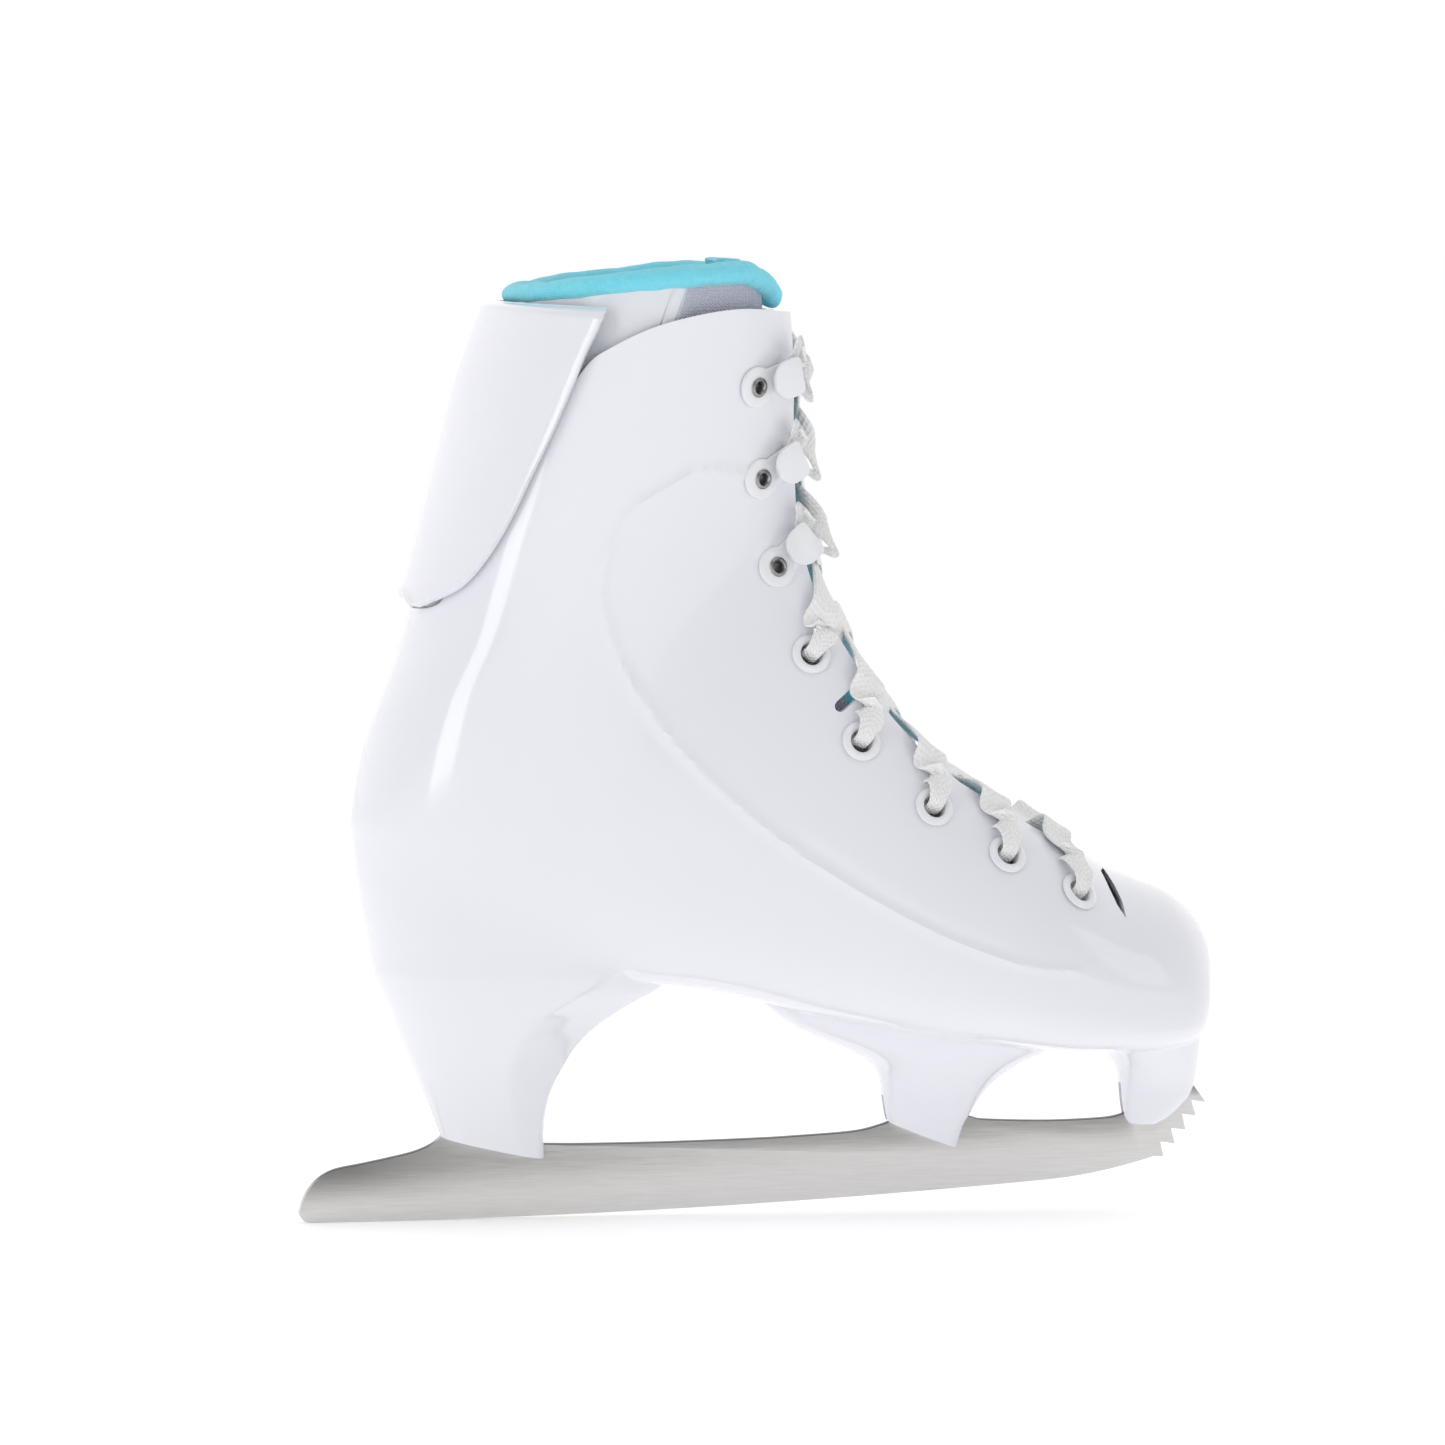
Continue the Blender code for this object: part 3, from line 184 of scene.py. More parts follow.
# ---------------------------------------------------------------- the boot form

def catmull_rom(rows, at):
    """Rows of numbers read at fractional indices, on a smooth curve through every row."""
    rows = np.array(rows, float)
    padded = np.vstack([2 * rows[0] - rows[1], rows, 2 * rows[-1] - rows[-2]])
    at = np.clip(np.asarray(at, float), 0, len(rows) - 1)
    i = np.minimum(at.astype(int), len(rows) - 2)
    f = (at - i)[..., None]
    a, b, c, d = (padded[i + k] for k in range(4))
    return 0.5 * (2 * b + (c - a) * f + (2 * a - 5 * b + 4 * c - d) * f**2 + (3 * b - a - 3 * c + d) * f**3)


def drawn(rows, count):
    """`count` rows read at even steps along the smooth curve through every row."""
    return catmull_rom(rows, np.linspace(0, len(rows) - 1, count))


def eased(rows, times, middle=2.0):
    """Rows averaged with their neighbours, `times` over; the first and the last stay."""
    rows = np.array(rows, float)
    for _ in range(times):
        rows[1:-1] = (rows[:-2] + middle * rows[1:-1] + rows[2:]) / (2 + middle)
    return rows


def travelled_along(points):
    """The distance from the first point to each point, along the line through them."""
    return np.concatenate([[0], np.cumsum(np.linalg.norm(np.diff(points, axis=0), axis=1))])


def evenly_spaced(points, count):
    travelled = travelled_along(points)
    even = np.linspace(0, travelled[-1], count)
    return np.stack([np.interp(even, travelled, points[:, k]) for k in range(3)], 1)


def read_table(pairs, at):
    """A value read at station `at` from (station, value) pairs."""
    keys, values = zip(*pairs)
    return np.interp(at, keys, values)


SECTION_POINTS = 96
FORM_STATIONS = 220
THROAT_ROWS = 22
PROFILE_ANGLES = np.linspace(0, math.pi / 2, 120)


def half_section(row):
    """One side of a cross-section, from its front centre to its back centre, evenly spaced."""
    front_x, front_z, back_x, back_z, half_width, widest, front_power, back_power = row
    rise, turn = np.sin(PROFILE_ANGLES), np.cos(PROFILE_ANGLES)
    along = np.concatenate([widest * (1 - turn ** (2 / front_power)),
                            (widest + (1 - widest) * rise ** (2 / back_power))[1:]])
    out = np.concatenate([rise ** (2 / front_power), (turn ** (2 / back_power))[1:]]) * half_width
    points = np.stack([front_x + (back_x - front_x) * along, out, front_z + (back_z - front_z) * along], 1)
    if travelled_along(points)[-1] < 1e-9:
        return np.repeat(points[:1], SECTION_POINTS + 1, 0)
    return evenly_spaced(points, SECTION_POINTS + 1)


def make_form():
    """The form's points and outward normals: a closed ring of 2 * SECTION_POINTS at each of FORM_STATIONS."""
    at = np.linspace(0, TOP_STATION, FORM_STATIONS)
    halves = np.array([half_section(row) for row in catmull_rom(STATIONS, at)])
    lean = read_table(TOE_LEAN, at)
    other = halves[:, -2:0:-1] * np.array([1, -1, 1])
    ring = np.concatenate([halves, other], 1)
    ring[:, :, 1] += lean[:, None]
    along = np.gradient(ring, axis=0)
    around = np.roll(ring, -1, 1) - np.roll(ring, 1, 1)
    normal = np.cross(around, along)
    normal[0] = (1, 0, 0)
    return ring, normal / np.linalg.norm(normal, axis=2, keepdims=True)


FORM, FORM_NORMALS = make_form()
SECTION_LENGTHS = np.linalg.norm(np.diff(FORM[:, : SECTION_POINTS + 1], axis=1), axis=2).sum(1)


def read_form(grid, station, ring):
    rows = np.clip(station / TOP_STATION, 0, 1) * (FORM_STATIONS - 1)
    i = np.minimum(rows.astype(int), FORM_STATIONS - 2)
    f = (rows - i)[..., None]
    columns = ring * SECTION_POINTS
    j = np.floor(columns).astype(int)
    g = (columns - j)[..., None]
    j, k = j % (2 * SECTION_POINTS), (j + 1) % (2 * SECTION_POINTS)
    low = (1 - g) * grid[i, j] + g * grid[i, k]
    high = (1 - g) * grid[i + 1, j] + g * grid[i + 1, k]
    return (1 - f) * low + f * high


def on_form(station, ring, depth=0.0):
    """Points `depth` mm under the form (a negative depth stands off it) and their normals.

    `ring` is 0 at the front centre, 1 at the back centre; -Y's side runs on from 1 to 2, or from 0 to -1."""
    station, ring, depth = np.broadcast_arrays(np.asarray(station, float), ring, depth)
    normal = read_form(FORM_NORMALS, station, ring)
    normal = normal / np.linalg.norm(normal, axis=-1, keepdims=True)
    return read_form(FORM, station, ring) - normal * depth[..., None], normal


def ring_at_width(station, width):
    """The ring value that lies `width` mm from the front centre, measured along the section."""
    rows = np.clip(np.asarray(station, float) / TOP_STATION, 0, 1) * (FORM_STATIONS - 1)
    return width / np.maximum(np.interp(rows, np.arange(FORM_STATIONS), SECTION_LENGTHS), 1.0)


def locate(x, z):
    """(station, ring) of the +Y point of the form whose side view is (x, z)."""
    half = FORM[:, : SECTION_POINTS + 1]
    far = (half[:, :, 0] - x) ** 2 + (half[:, :, 2] - z) ** 2
    i, j = np.unravel_index(np.argmin(far), far.shape)
    return i * TOP_STATION / (FORM_STATIONS - 1), j / SECTION_POINTS


# ---------------------------------------------------------------- solids

def solid_between(outer, inner, closed=None):
    """A solid between two grids of points. Where `closed` is true for a row, its two ends are one point."""
    rows, columns = outer.shape[:2]
    bm = bmesh.new()
    grids = [[[bm.verts.new(p) for p in row] for row in grid] for grid in (outer, inner)]
    for grid in grids:
        for i in range(rows - 1):
            for j in range(columns - 1):
                bm.faces.new((grid[i][j], grid[i + 1][j], grid[i + 1][j + 1], grid[i][j + 1]))
    first, second = grids
    for i in range(rows - 1):
        if closed is not None and closed[i] and closed[i + 1]:
            continue
        for j in (0, columns - 1):
            bm.faces.new((first[i][j], second[i][j], second[i + 1][j], first[i + 1][j]))
    for i in (0, rows - 1):
        if closed is not None and closed[i] and i == 0:
            continue
        for j in range(columns - 1):
            bm.faces.new((first[i][j], first[i][j + 1], second[i][j + 1], second[i][j]))
    bmesh.ops.remove_doubles(bm, verts=bm.verts, dist=1e-3)
    return bm


def skin(rows, cap_first=True, closed=False):
    """A solid through rings of points, with its end rings capped, or with `closed` joined to each other."""
    bm = bmesh.new()
    rings = [[bm.verts.new(p) for p in row] for row in rows]
    for low, high in zip(rings, rings[1:] + (rings[:1] if closed else [])):
        for k in range(len(low)):
            m = (k + 1) % len(low)
            bm.faces.new((low[k], high[k], high[m], low[m]))
    if cap_first and not closed:
        bm.faces.new(rings[0])
    if not closed:
        bm.faces.new(rings[-1])
    return bm


def form_solid(depth, stations, around, lift=None):
    """The form at some depth as a closed solid, capped at its last station; `lift` raises its surface."""
    station, ring = np.meshgrid(stations, np.linspace(0, 2, around, endpoint=False), indexing="ij")
    points, normals = on_form(station, ring, depth)
    if lift:
        points = points + normals * lift(points)[..., None]
    bm = skin(points, cap_first=False)
    bmesh.ops.remove_doubles(bm, verts=bm.verts, dist=1e-3)
    return bm


def stations_up(toe_rows, other_rows):
    """Stations from the toe's tip to the top, with rows of their own over the toe cap."""
    toe = np.linspace(0, TOE_CAP_STATION, toe_rows)
    return np.concatenate([toe[:-1], np.linspace(TOE_CAP_STATION, TOP_STATION, other_rows)])


def drawn_out(outline, move):
    """A flat outline of points drawn out along `move`."""
    bm = bmesh.new()
    face = bm.faces.new([bm.verts.new(p) for p in outline])
    made = bmesh.ops.extrude_face_region(bm, geom=[face])
    moved = [v for v in made["geom"] if isinstance(v, bmesh.types.BMVert)]
    bmesh.ops.translate(bm, verts=moved, vec=move)
    return bm


def prism(outline, half_depth):
    """A side-view outline (x, z) drawn out across Y."""
    return drawn_out([(x, -half_depth, z) for x, z in outline], (0, 2 * half_depth, 0))


def turned(profile, centre, axis, around, closed=True):
    """A (radius, height) profile turned about `axis` through `centre`; with `closed` off, a solid bar."""
    angles = [2 * math.pi * k / around for k in range(around)]
    rows = [[(r * math.cos(t), r * math.sin(t), height) for t in angles] for r, height in profile]
    bm = skin(rows, closed=closed)
    turn = Vector((0, 0, 1)).rotation_difference(Vector(axis)).to_matrix().to_4x4()
    bm.transform(Matrix.Translation(Vector(centre)) @ turn)
    return bm


def rod(profile, centre, axis, around):
    return turned(profile, centre, axis, around, closed=False)


def capsule(start, end, radius, half_depth):
    """A slot cutter: a round-ended bar in side view, drawn out across Y."""
    angle = math.atan2(end[1] - start[1], end[0] - start[0])
    outline = []
    for centre, first in ((end, angle - math.pi / 2), (start, angle + math.pi / 2)):
        for k in range(7):
            turn = first + math.pi * k / 6
            outline.append((centre[0] + radius * math.cos(turn), centre[1] + radius * math.sin(turn)))
    return prism(outline, half_depth)


def trim_below(bm, start, end):
    """Cuts a post's foot off square below the side-view line start-end."""
    along = Vector((end[0] - start[0], 0, end[1] - start[1]))
    down = along.cross(Vector((0, 1, 0))).normalized()
    if down.z > 0:
        down = -down
    everything = bm.verts[:] + bm.edges[:] + bm.faces[:]
    cut = bmesh.ops.bisect_plane(bm, geom=everything, plane_co=(start[0], 0, start[1]), plane_no=down,
                                 clear_outer=True)
    edges = [e for e in cut["geom_cut"] if isinstance(e, bmesh.types.BMEdge)]
    bmesh.ops.contextual_create(bm, geom=edges)
    return bm


def throat_cutter(first_depth, last_depth):
    """The lacing gap as a solid that straddles the front of the form."""
    stations = np.concatenate([[6.3, 6.45], np.linspace(6.7, TOP_STATION, THROAT_ROWS)])
    edge = ring_at_width(stations, read_table(THROAT, stations))
    across = np.linspace(-1, 1, 7)
    station, ring = np.broadcast_arrays(stations[:, None], edge[:, None] * across)
    return solid_between(on_form(station, ring, first_depth)[0], on_form(station, ring, last_depth)[0])


def lace_point(place, side):
    """The point and normal of the form at a side-view place, on the +Y or the -Y side."""
    station, ring = locate(*place)
    point, normal = on_form(station, ring if side > 0 else 2 - ring)
    return Vector(point), Vector(normal)


def running_edge(x):
    """Height of the blade's running edge: the rocker's arc, then a tighter one up to the toe picks."""
    z = (x - TAIL_CONTACT_X) ** 2 / (2 * ROCKER_RADIUS)
    if x > PICK_RISE_X:
        z += (x - PICK_RISE_X) ** 2 / (2 * PICK_RISE_RADIUS)
    return z


def from_back(ring):
    """How far a ring value is from the back centre, whichever side it is on."""
    return np.abs(1 - np.mod(ring, 2))


def smooth_step(low, high, value):
    share = np.clip((value - low) / (high - low), 0, 1)
    return share * share * (3 - 2 * share)


def throat_share(station, ring):
    """1 at the edges of the lacing gap, 0 away from them."""
    width = np.minimum(np.mod(ring, 2), 2 - np.mod(ring, 2)) / ring_at_width(station, 1.0)
    return 1 - smooth_step(56.0, 68.0, width)


def sole_share(station, ring):
    """1 over the flat of the sole, 0 up the sides and the leg."""
    flat = 1 - smooth_step(0.20, 0.34, from_back(ring))
    return flat * smooth_step(1.0, 3.0, station) * (1 - smooth_step(14.3, 15.8, station))


def liner_outer(station, ring):
    board = (BOARD_THICKNESS + LAYER_GAP) * sole_share(station, ring)
    return SHELL_WALL + LAYER_GAP + board + LACE_ROOM * throat_share(station, ring)


def liner_inner(station, ring):
    edge = throat_share(station, ring)
    return liner_outer(station, ring) + LINER_THICKNESS * (1 - edge) + LINER_EDGE_THICKNESS * edge


def collar_side(start, end, side, rows):
    """Points of the collar roll's centre line between two places of COLLAR_LINE, on one side."""
    points = []
    for x, z in catmull_rom(COLLAR_LINE, np.linspace(start, end, rows)):
        station, ring = locate(x, z)
        points.append(on_form(station, ring if side > 0 else 2 - ring, COLLAR_DEPTH)[0])
    return points


def lace_axes(place, side):
    """A hook's or eyelet's point, its outward normal, and the ways towards the throat and up the rows."""
    station, ring = locate(*place)
    if side < 0:
        ring = -ring
    point, normal = (Vector(v) for v in on_form(station, ring))
    inwards = Vector(on_form(station, ring - 0.04 * side)[0]) - point
    inwards = (inwards - normal * inwards.dot(normal)).normalized()
    upwards = normal.cross(inwards) * side
    return point, normal, inwards, upwards


def up_the_form(station, ring, depth=0.0):
    """The direction up the rows at a place of the form."""
    above, below = (on_form(station + step, ring, depth)[0] for step in (0.2, -0.2))
    return Vector(above - below).normalized()


def crossing(start, end, side, over, dives, sign):
    """Lace stations across the throat, from (station, width) on one side to the same on the other."""
    def throat(station):
        return float(read_table(THROAT, station))

    (station_a, width_a), (station_b, width_b) = start, end
    edge_a, edge_b = throat(station_a), throat(station_b)
    middle = (station_a + station_b) / 2
    edge = throat(middle)
    low = 4.4 if over else 6.2
    places = [(edge_a + 6, -1.4), (edge_a + 0.5, -3.4), (edge * 0.6, low - 2.2), (0.0, low)]
    if dives:
        places += [(-edge * 0.55, low + 0.6), (-(edge_b - 2.0), 5.4), (-(edge_b + 4), 4.7)]
    else:
        places += [(-edge * 0.6, low - 2.2)]
    if station_a > FIRST_HOOK_STATION:
        places = places[2:]
    made = []
    for width, depth in places:
        share = (width_a - width) / (width_a + width_b)
        station = station_a + (station_b - station_a) * share
        ring = ring_at_width(station, width) * side
        point, _ = on_form(station, ring, depth)
        up = up_the_form(station, ring, depth)
        made.append((Vector(point), up * sign, LACE_WIDTH, LACE_THICKNESS))
    return made


def through_eyelet(place, side, sign):
    """Lace stations up through an eyelet, from the inside out."""
    point, normal, inwards, up = lace_axes(place, side)
    steps = [(6.5, -4.7, 6.0, 1.2), (2.6, -4.6, 5.0, 1.4), (0.2, -3.2, 4.6, 1.5), (0.0, -0.8, 4.6, 1.5),
             (0.8, 2.2, 4.6, 1.3), (3.4, 3.4, 5.4, 1.2), (7.6, 2.9, 6.5, 1.2)]
    return [(point + inwards * u + normal * h, up * sign, w, t) for u, h, w, t in steps]


def round_hook(place, side, sign):
    """Lace stations round a hook's neck, from below to above; the ribbon turns over on the way."""
    point, normal, inwards, up = lace_axes(place, side)
    height = GAP + HOOK_METAL + HOOK_PLATE_GAP / 2
    steps = [(6.0, -8.8, 3.0, up, 3.6, 1.2), (3.2, -6.4, height, inwards * 0.6 + up * 0.6, 2.0, 1.2),
             (-0.3, -3.7, height, normal, 2.0, 1.5), (-0.4, 0.0, height, normal, 2.0, 1.5),
             (-0.3, 3.7, height, normal, 2.0, 1.5),
             (3.2, 6.4, height, inwards * 0.6 - up * 0.6, 2.0, 1.2), (6.0, 8.8, 3.0, -up, 3.6, 1.2)]
    point = point + inwards * (HOOK_REACH + 3.2)
    return [(point + inwards * u + up * v + normal * h, (across * sign).normalized(), w, t)
            for u, v, h, across, w, t in steps]


def width_of(place):
    station, ring = locate(*place)
    return station, ring / ring_at_width(station, 1.0)


def half_lace(side):
    """One half of the lace, from the middle of the bottom bar up to its tucked end."""
    stations = []
    station, width = width_of(EYELETS[0])
    for share in (0.0, 0.33, 0.66):
        ring = ring_at_width(station, width * share) * side
        point, _ = on_form(station, ring, 4.8)
        stations.append((Vector(point), up_the_form(station, ring), 5.0, LACE_THICKNESS))
    sign = 1
    stations += through_eyelet(EYELETS[0], side, sign)[1:]
    rows = EYELETS + HOOKS
    for number, (place, following) in enumerate(zip(rows, rows[1:])):
        dives = number + 1 < len(EYELETS)
        stations += crossing(width_of(place), width_of(following), side, side > 0, dives, sign)
        side = -side
        stations += (through_eyelet if dives else round_hook)(following, side, sign)
        if not dives:
            sign = -sign
    station, width = width_of(HOOKS[-1])
    stations += crossing((station, width), (station + 0.75, width), side, side < 0, True, sign)
    return stations


# ---------------------------------------------------------------- shader maths

class Value:
    """A shader socket that takes part in Python sums; each operator adds a Math node."""

    def __init__(self, tree, socket):
        self.tree, self.socket = tree, socket

    def math(self, operation, other=None):
        node = self.tree.nodes.new("ShaderNodeMath")
        node.operation = operation
        for place, term in enumerate((self, other)):
            if isinstance(term, Value):
                self.tree.links.new(term.socket, node.inputs[place])
            elif term is not None:
                node.inputs[place].default_value = term
        return Value(self.tree, node.outputs[0])

    def __add__(self, other):
        return self.math("ADD", other)

    def __mul__(self, other):
        return self.math("MULTIPLY", other)

    def __sub__(self, other):
        return self.math("SUBTRACT", other)

    def __rsub__(self, other):
        return self.math("MULTIPLY", -1.0).math("ADD", other)

    __radd__ = __add__
    __rmul__ = __mul__

    def step(self, low, high):
        """0 under low, 1 over high, smooth between."""
        node = self.tree.nodes.new("ShaderNodeMapRange")
        node.interpolation_type = "SMOOTHSTEP"
        self.tree.links.new(self.socket, node.inputs["Value"])
        node.inputs["From Min"].default_value = low
        node.inputs["From Max"].default_value = high
        return Value(self.tree, node.outputs["Result"])


class Finish:
    """A material with one Principled shader."""

    def __init__(self, name, colour, roughness, **constants):
        self.material = bpy.data.materials.new(name)
        self.material.use_nodes = True
        self.tree = self.material.node_tree
        self.shader = self.tree.nodes["Principled BSDF"]
        self.shader.inputs["Base Color"].default_value = (*colour, 1)
        self.shader.inputs["Roughness"].default_value = roughness
        for socket, value in constants.items():
            self.shader.inputs[socket.replace("_", " ")].default_value = value

    def node(self, kind, settings=None, **sockets):
        made = self.tree.nodes.new("ShaderNode" + kind)
        for key, value in (settings or {}).items():
            setattr(made, key, value)
        for key, value in sockets.items():
            self.feed(made.inputs[key.replace("_", " ")], value)
        return made

    def feed(self, socket, value):
        if isinstance(value, Value):
            self.tree.links.new(value.socket, socket)
        elif isinstance(value, bpy.types.NodeSocket):
            self.tree.links.new(value, socket)
        else:
            socket.default_value = value

    def place(self):
        """Object coordinates, in metres."""
        return self.node("TexCoord").outputs["Object"]

    def axes(self, vector=None):
        split = self.node("SeparateXYZ", Vector=vector or self.place())
        return [Value(self.tree, split.outputs[axis]) for axis in "XYZ"]

    def noise(self, scale, detail=2.0, stretch=None):
        vector = self.place()
        if stretch:
            vector = self.node("Mapping", Vector=vector, Scale=stretch).outputs[0]
        made = self.node("TexNoise", Vector=vector, Scale=scale, Detail=detail)
        return Value(self.tree, made.outputs["Fac"])

    def colour_mix(self, share, first, second):
        made = self.node("Mix", {"data_type": "RGBA"})
        self.feed(made.inputs["Factor"], share)
        self.feed(made.inputs[6], (*first, 1) if isinstance(first, tuple) else first)
        self.feed(made.inputs[7], (*second, 1) if isinstance(second, tuple) else second)
        return made.outputs[2]

    def set(self, socket, value):
        self.feed(self.shader.inputs[socket], value)

    def bump(self, height, distance, strength=1.0):
        made = self.node("Bump", Height=height, Distance=distance, Strength=strength)
        self.set("Normal", made.outputs["Normal"])


WHITE = (0.86, 0.865, 0.925)


def gloss_white():
    """Moulded gloss plastic: a faint waviness, and a little cloudiness in the colour and the polish."""
    finish = Finish("gloss_white", WHITE, 0.1, Coat_Weight=0.25, Coat_Roughness=0.04, Specular_IOR_Level=0.5)
    cloud = finish.noise(14.0)
    finish.set("Base Color", finish.colour_mix(cloud, (0.85, 0.855, 0.915), (0.88, 0.885, 0.94)))
    finish.set("Roughness", finish.noise(60.0) * 0.06 + 0.07)
    finish.bump(finish.noise(28.0, 1.0) * 0.7 + finish.noise(420.0) * 0.02, 0.0004, 0.5)
    return finish.material


def brushed_blade():
    """Ground stainless steel: fine lines along the blade, darker and grainy at the back of the tail, and
    painted near black as shade on the faces that look up under the boot.
    """
    finish = Finish("brushed_blade", (0.6, 0.59, 0.58), 0.34, Metallic=1.0)
    x, _, z = finish.axes()
    lines = finish.noise(60.0, 6.0, stretch=(1.0, 1.0, 42.0))
    fine = finish.noise(900.0, 3.0, stretch=(0.12, 1.0, 1.6))
    tail = (1 - x.step(-0.145, -0.085)) * z.step(0.004, 0.018)
    shade = lines * 0.5 + fine * 0.5
    base = finish.colour_mix(shade, (0.55, 0.54, 0.53), (0.78, 0.765, 0.75))
    # Faces that look up sit in the shade under the boot and are painted near black: painted shade.
    up = finish.axes(finish.node("TexCoord").outputs["Normal"])[2].step(0.6, 0.9)
    ground = finish.colour_mix(tail * 0.85, base, (0.24, 0.235, 0.23))
    finish.set("Base Color", finish.colour_mix(up, ground, (0.03, 0.03, 0.03)))
    finish.set("Roughness", shade * 0.16 + 0.26)
    finish.bump(lines * 0.4 + fine * 0.6, 0.00012, 0.5)
    return finish.material


def enamel(name, colour):
    """White enamel on metal, with a slightly worn sheen."""
    finish = Finish(name, colour, 0.2, Coat_Weight=0.4, Coat_Roughness=0.1)
    finish.set("Roughness", finish.noise(500.0) * 0.12 + 0.14)
    finish.bump(finish.noise(260.0) * 0.5 + finish.noise(1400.0) * 0.1, 0.00008)
    return finish.material


def plain_steel(name, dark, light):
    finish = Finish(name, light, 0.35, Metallic=1.0)
    finish.set("Base Color", finish.colour_mix(finish.noise(700.0), dark, light))
    finish.set("Roughness", finish.noise(1500.0) * 0.2 + 0.25)
    finish.bump(finish.noise(2200.0), 0.00004)
    return finish.material


def plush(name, low, high):
    """Short pile fleece: clumps, fibres and a soft sheen."""
    finish = Finish(name, high, 0.95, Sheen_Weight=0.35, Sheen_Roughness=0.5)
    clump, fibre = finish.noise(420.0, 3.0), finish.noise(2600.0, 3.0)
    finish.set("Base Color", finish.colour_mix(clump * 0.6 + fibre * 0.4, low, high))
    finish.bump(clump * 0.6 + fibre * 0.5, 0.0009)
    return finish.material


def knit_dots(finish):
    """Height of a knitted mesh: staggered rows of stitches with small holes between them."""
    x, y, z = finish.axes()
    column = ((x + y * 0.9) * 3400.0).math("SINE")
    row = (z * 3000.0 + column * 0.7).math("SINE")
    return (column * row).math("ABSOLUTE")


# The seams of the liner's bound strip: how far each is behind x = 0 at the height of the collar, in metres.
STRIP_SEAMS = (0.0280, 0.0238)
SEAM_WIDTH = 0.0008


def liner_finish():
    """The inner boot: gloss coated fabric behind, a bound strip, then knitted mesh to the front."""
    finish = Finish("liner_finish", WHITE, 0.5, Specular_IOR_Level=0.4)
    x, _, z = finish.axes()
    across = x - (z - 0.2965) * 0.35
    knit = across.step(-0.0240, -0.0236)
    strip = across.step(-0.0282, -0.0278) * (1 - knit)
    dots = knit_dots(finish)
    # The knit's holes are painted darker than its stitches: painted shade in the openings.
    mesh = finish.colour_mix(dots, (0.62, 0.62, 0.73), (0.80, 0.80, 0.88))
    white = finish.colour_mix(strip, (0.83, 0.84, 0.885), (0.86, 0.86, 0.90))
    finish.set("Base Color", finish.colour_mix(knit, white, mesh))
    finish.set("Roughness", knit * 0.7 + strip * 0.25 + 0.14)
    rear, front = ((across + seam).math("ABSOLUTE").step(0.0, SEAM_WIDTH) for seam in STRIP_SEAMS)
    finish.bump(dots * knit * 0.5 + (rear + front) * 0.6 + finish.noise(900.0) * 0.15, 0.0006)
    return finish.material


def woven_lace():
    """Flat braid: chevrons that meet in the middle of the ribbon, on a map of its length and width."""
    finish = Finish("woven_lace", (0.86, 0.86, 0.85), 0.9, Sheen_Weight=0.2, Sheen_Roughness=0.5)
    along, across, _ = finish.axes(finish.node("UVMap", {"uv_map": "lace"}).outputs["UV"])
    side = across.math("ABSOLUTE")
    rib = (along * 3.6 + side * 9.0).math("SINE")
    strand = (side * 25.0).math("SINE")
    height = rib * 0.5 + strand * 0.3 + finish.noise(1800.0, 3.0) * 0.4
    # Lower parts of the braid are painted darker and its raised strands lighter: painted shade in the weave.
    lift = (height + 0.6).step(0.0, 1.4)
    finish.set("Base Color", finish.colour_mix(lift, (0.90, 0.90, 0.90), (0.97, 0.97, 0.965)))
    finish.bump(height, 0.00022)
    return finish.material


def fibre_board():
    finish = Finish("fibre_board", (0.33, 0.32, 0.31), 0.85)
    cloud = finish.noise(300.0, 5.0)
    finish.set("Base Color", finish.colour_mix(cloud, (0.27, 0.26, 0.25), (0.38, 0.37, 0.36)))
    finish.bump(finish.noise(1200.0, 4.0), 0.0003)
    return finish.material


# ---------------------------------------------------------------- finishing pieces

def mesh_piece(name, bm, material, smooth_angle=35.0):
    """A bmesh in millimetres becomes a plain object in metres."""
    bmesh.ops.remove_doubles(bm, verts=bm.verts, dist=1e-4)
    bmesh.ops.recalc_face_normals(bm, faces=bm.faces)
    bmesh.ops.scale(bm, verts=bm.verts, vec=(MM, MM, MM))
    mesh = bpy.data.meshes.new(name)
    bm.to_mesh(mesh)
    bm.free()
    obj = bpy.data.objects.new(name, mesh)
    bpy.context.scene.collection.objects.link(obj)
    if material:
        mesh.materials.append(material)
    shade(obj, smooth_angle)
    return obj


def shade(obj, smooth_angle):
    obj.data.shade_smooth()
    obj.data.set_sharp_from_angle(angle=math.radians(smooth_angle))


def settle(obj, smooth_angle=35.0):
    """Applies the modifiers and takes away their helpers."""
    graph = bpy.context.evaluated_depsgraph_get()
    mesh = bpy.data.meshes.new_from_object(obj.evaluated_get(graph))
    helpers = [m.object for m in obj.modifiers if m.type == "BOOLEAN"]
    obj.modifiers.clear()
    obj.data = mesh
    for helper in helpers:
        bpy.data.objects.remove(helper)
    shade(obj, smooth_angle)
    return obj


def boolean(obj, bm, operation, name):
    modifier = obj.modifiers.new(name, "BOOLEAN")
    modifier.operation = operation
    modifier.solver = "MANIFOLD"
    modifier.object = mesh_piece(name, bm, None)


def bevel(obj, width, segments, angle):
    modifier = obj.modifiers.new("edges", "BEVEL")
    modifier.width = width * MM
    modifier.segments = segments
    modifier.limit_method = "ANGLE"
    modifier.angle_limit = math.radians(angle)
    modifier.harden_normals = False


def finish_piece(obj, body, slot, *nodes):
    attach(obj, body)
    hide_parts(*nodes)


# ---------------------------------------------------------------- shell

# Raised contour line on each side of the boot, in side view.
CONTOUR = [(0.3, 232.1), (-15.6, 235.9), (-28.6, 232.7), (-41.9, 224.1), (-49.8, 210.8), (-51.7, 197.8),
           (-48.6, 184.4), (-43.5, 171.7), (-29.5, 152.1), (-7.9, 130.8), (13.0, 114.9), (34.3, 101.6),
           (55.6, 90.8), (77.8, 83.2), (93.7, 81.3)]
CONTOUR_HEIGHT = 0.75
CONTOUR_WIDTH = 1.25

POST_ROWS = 56
POST_AROUND = 120

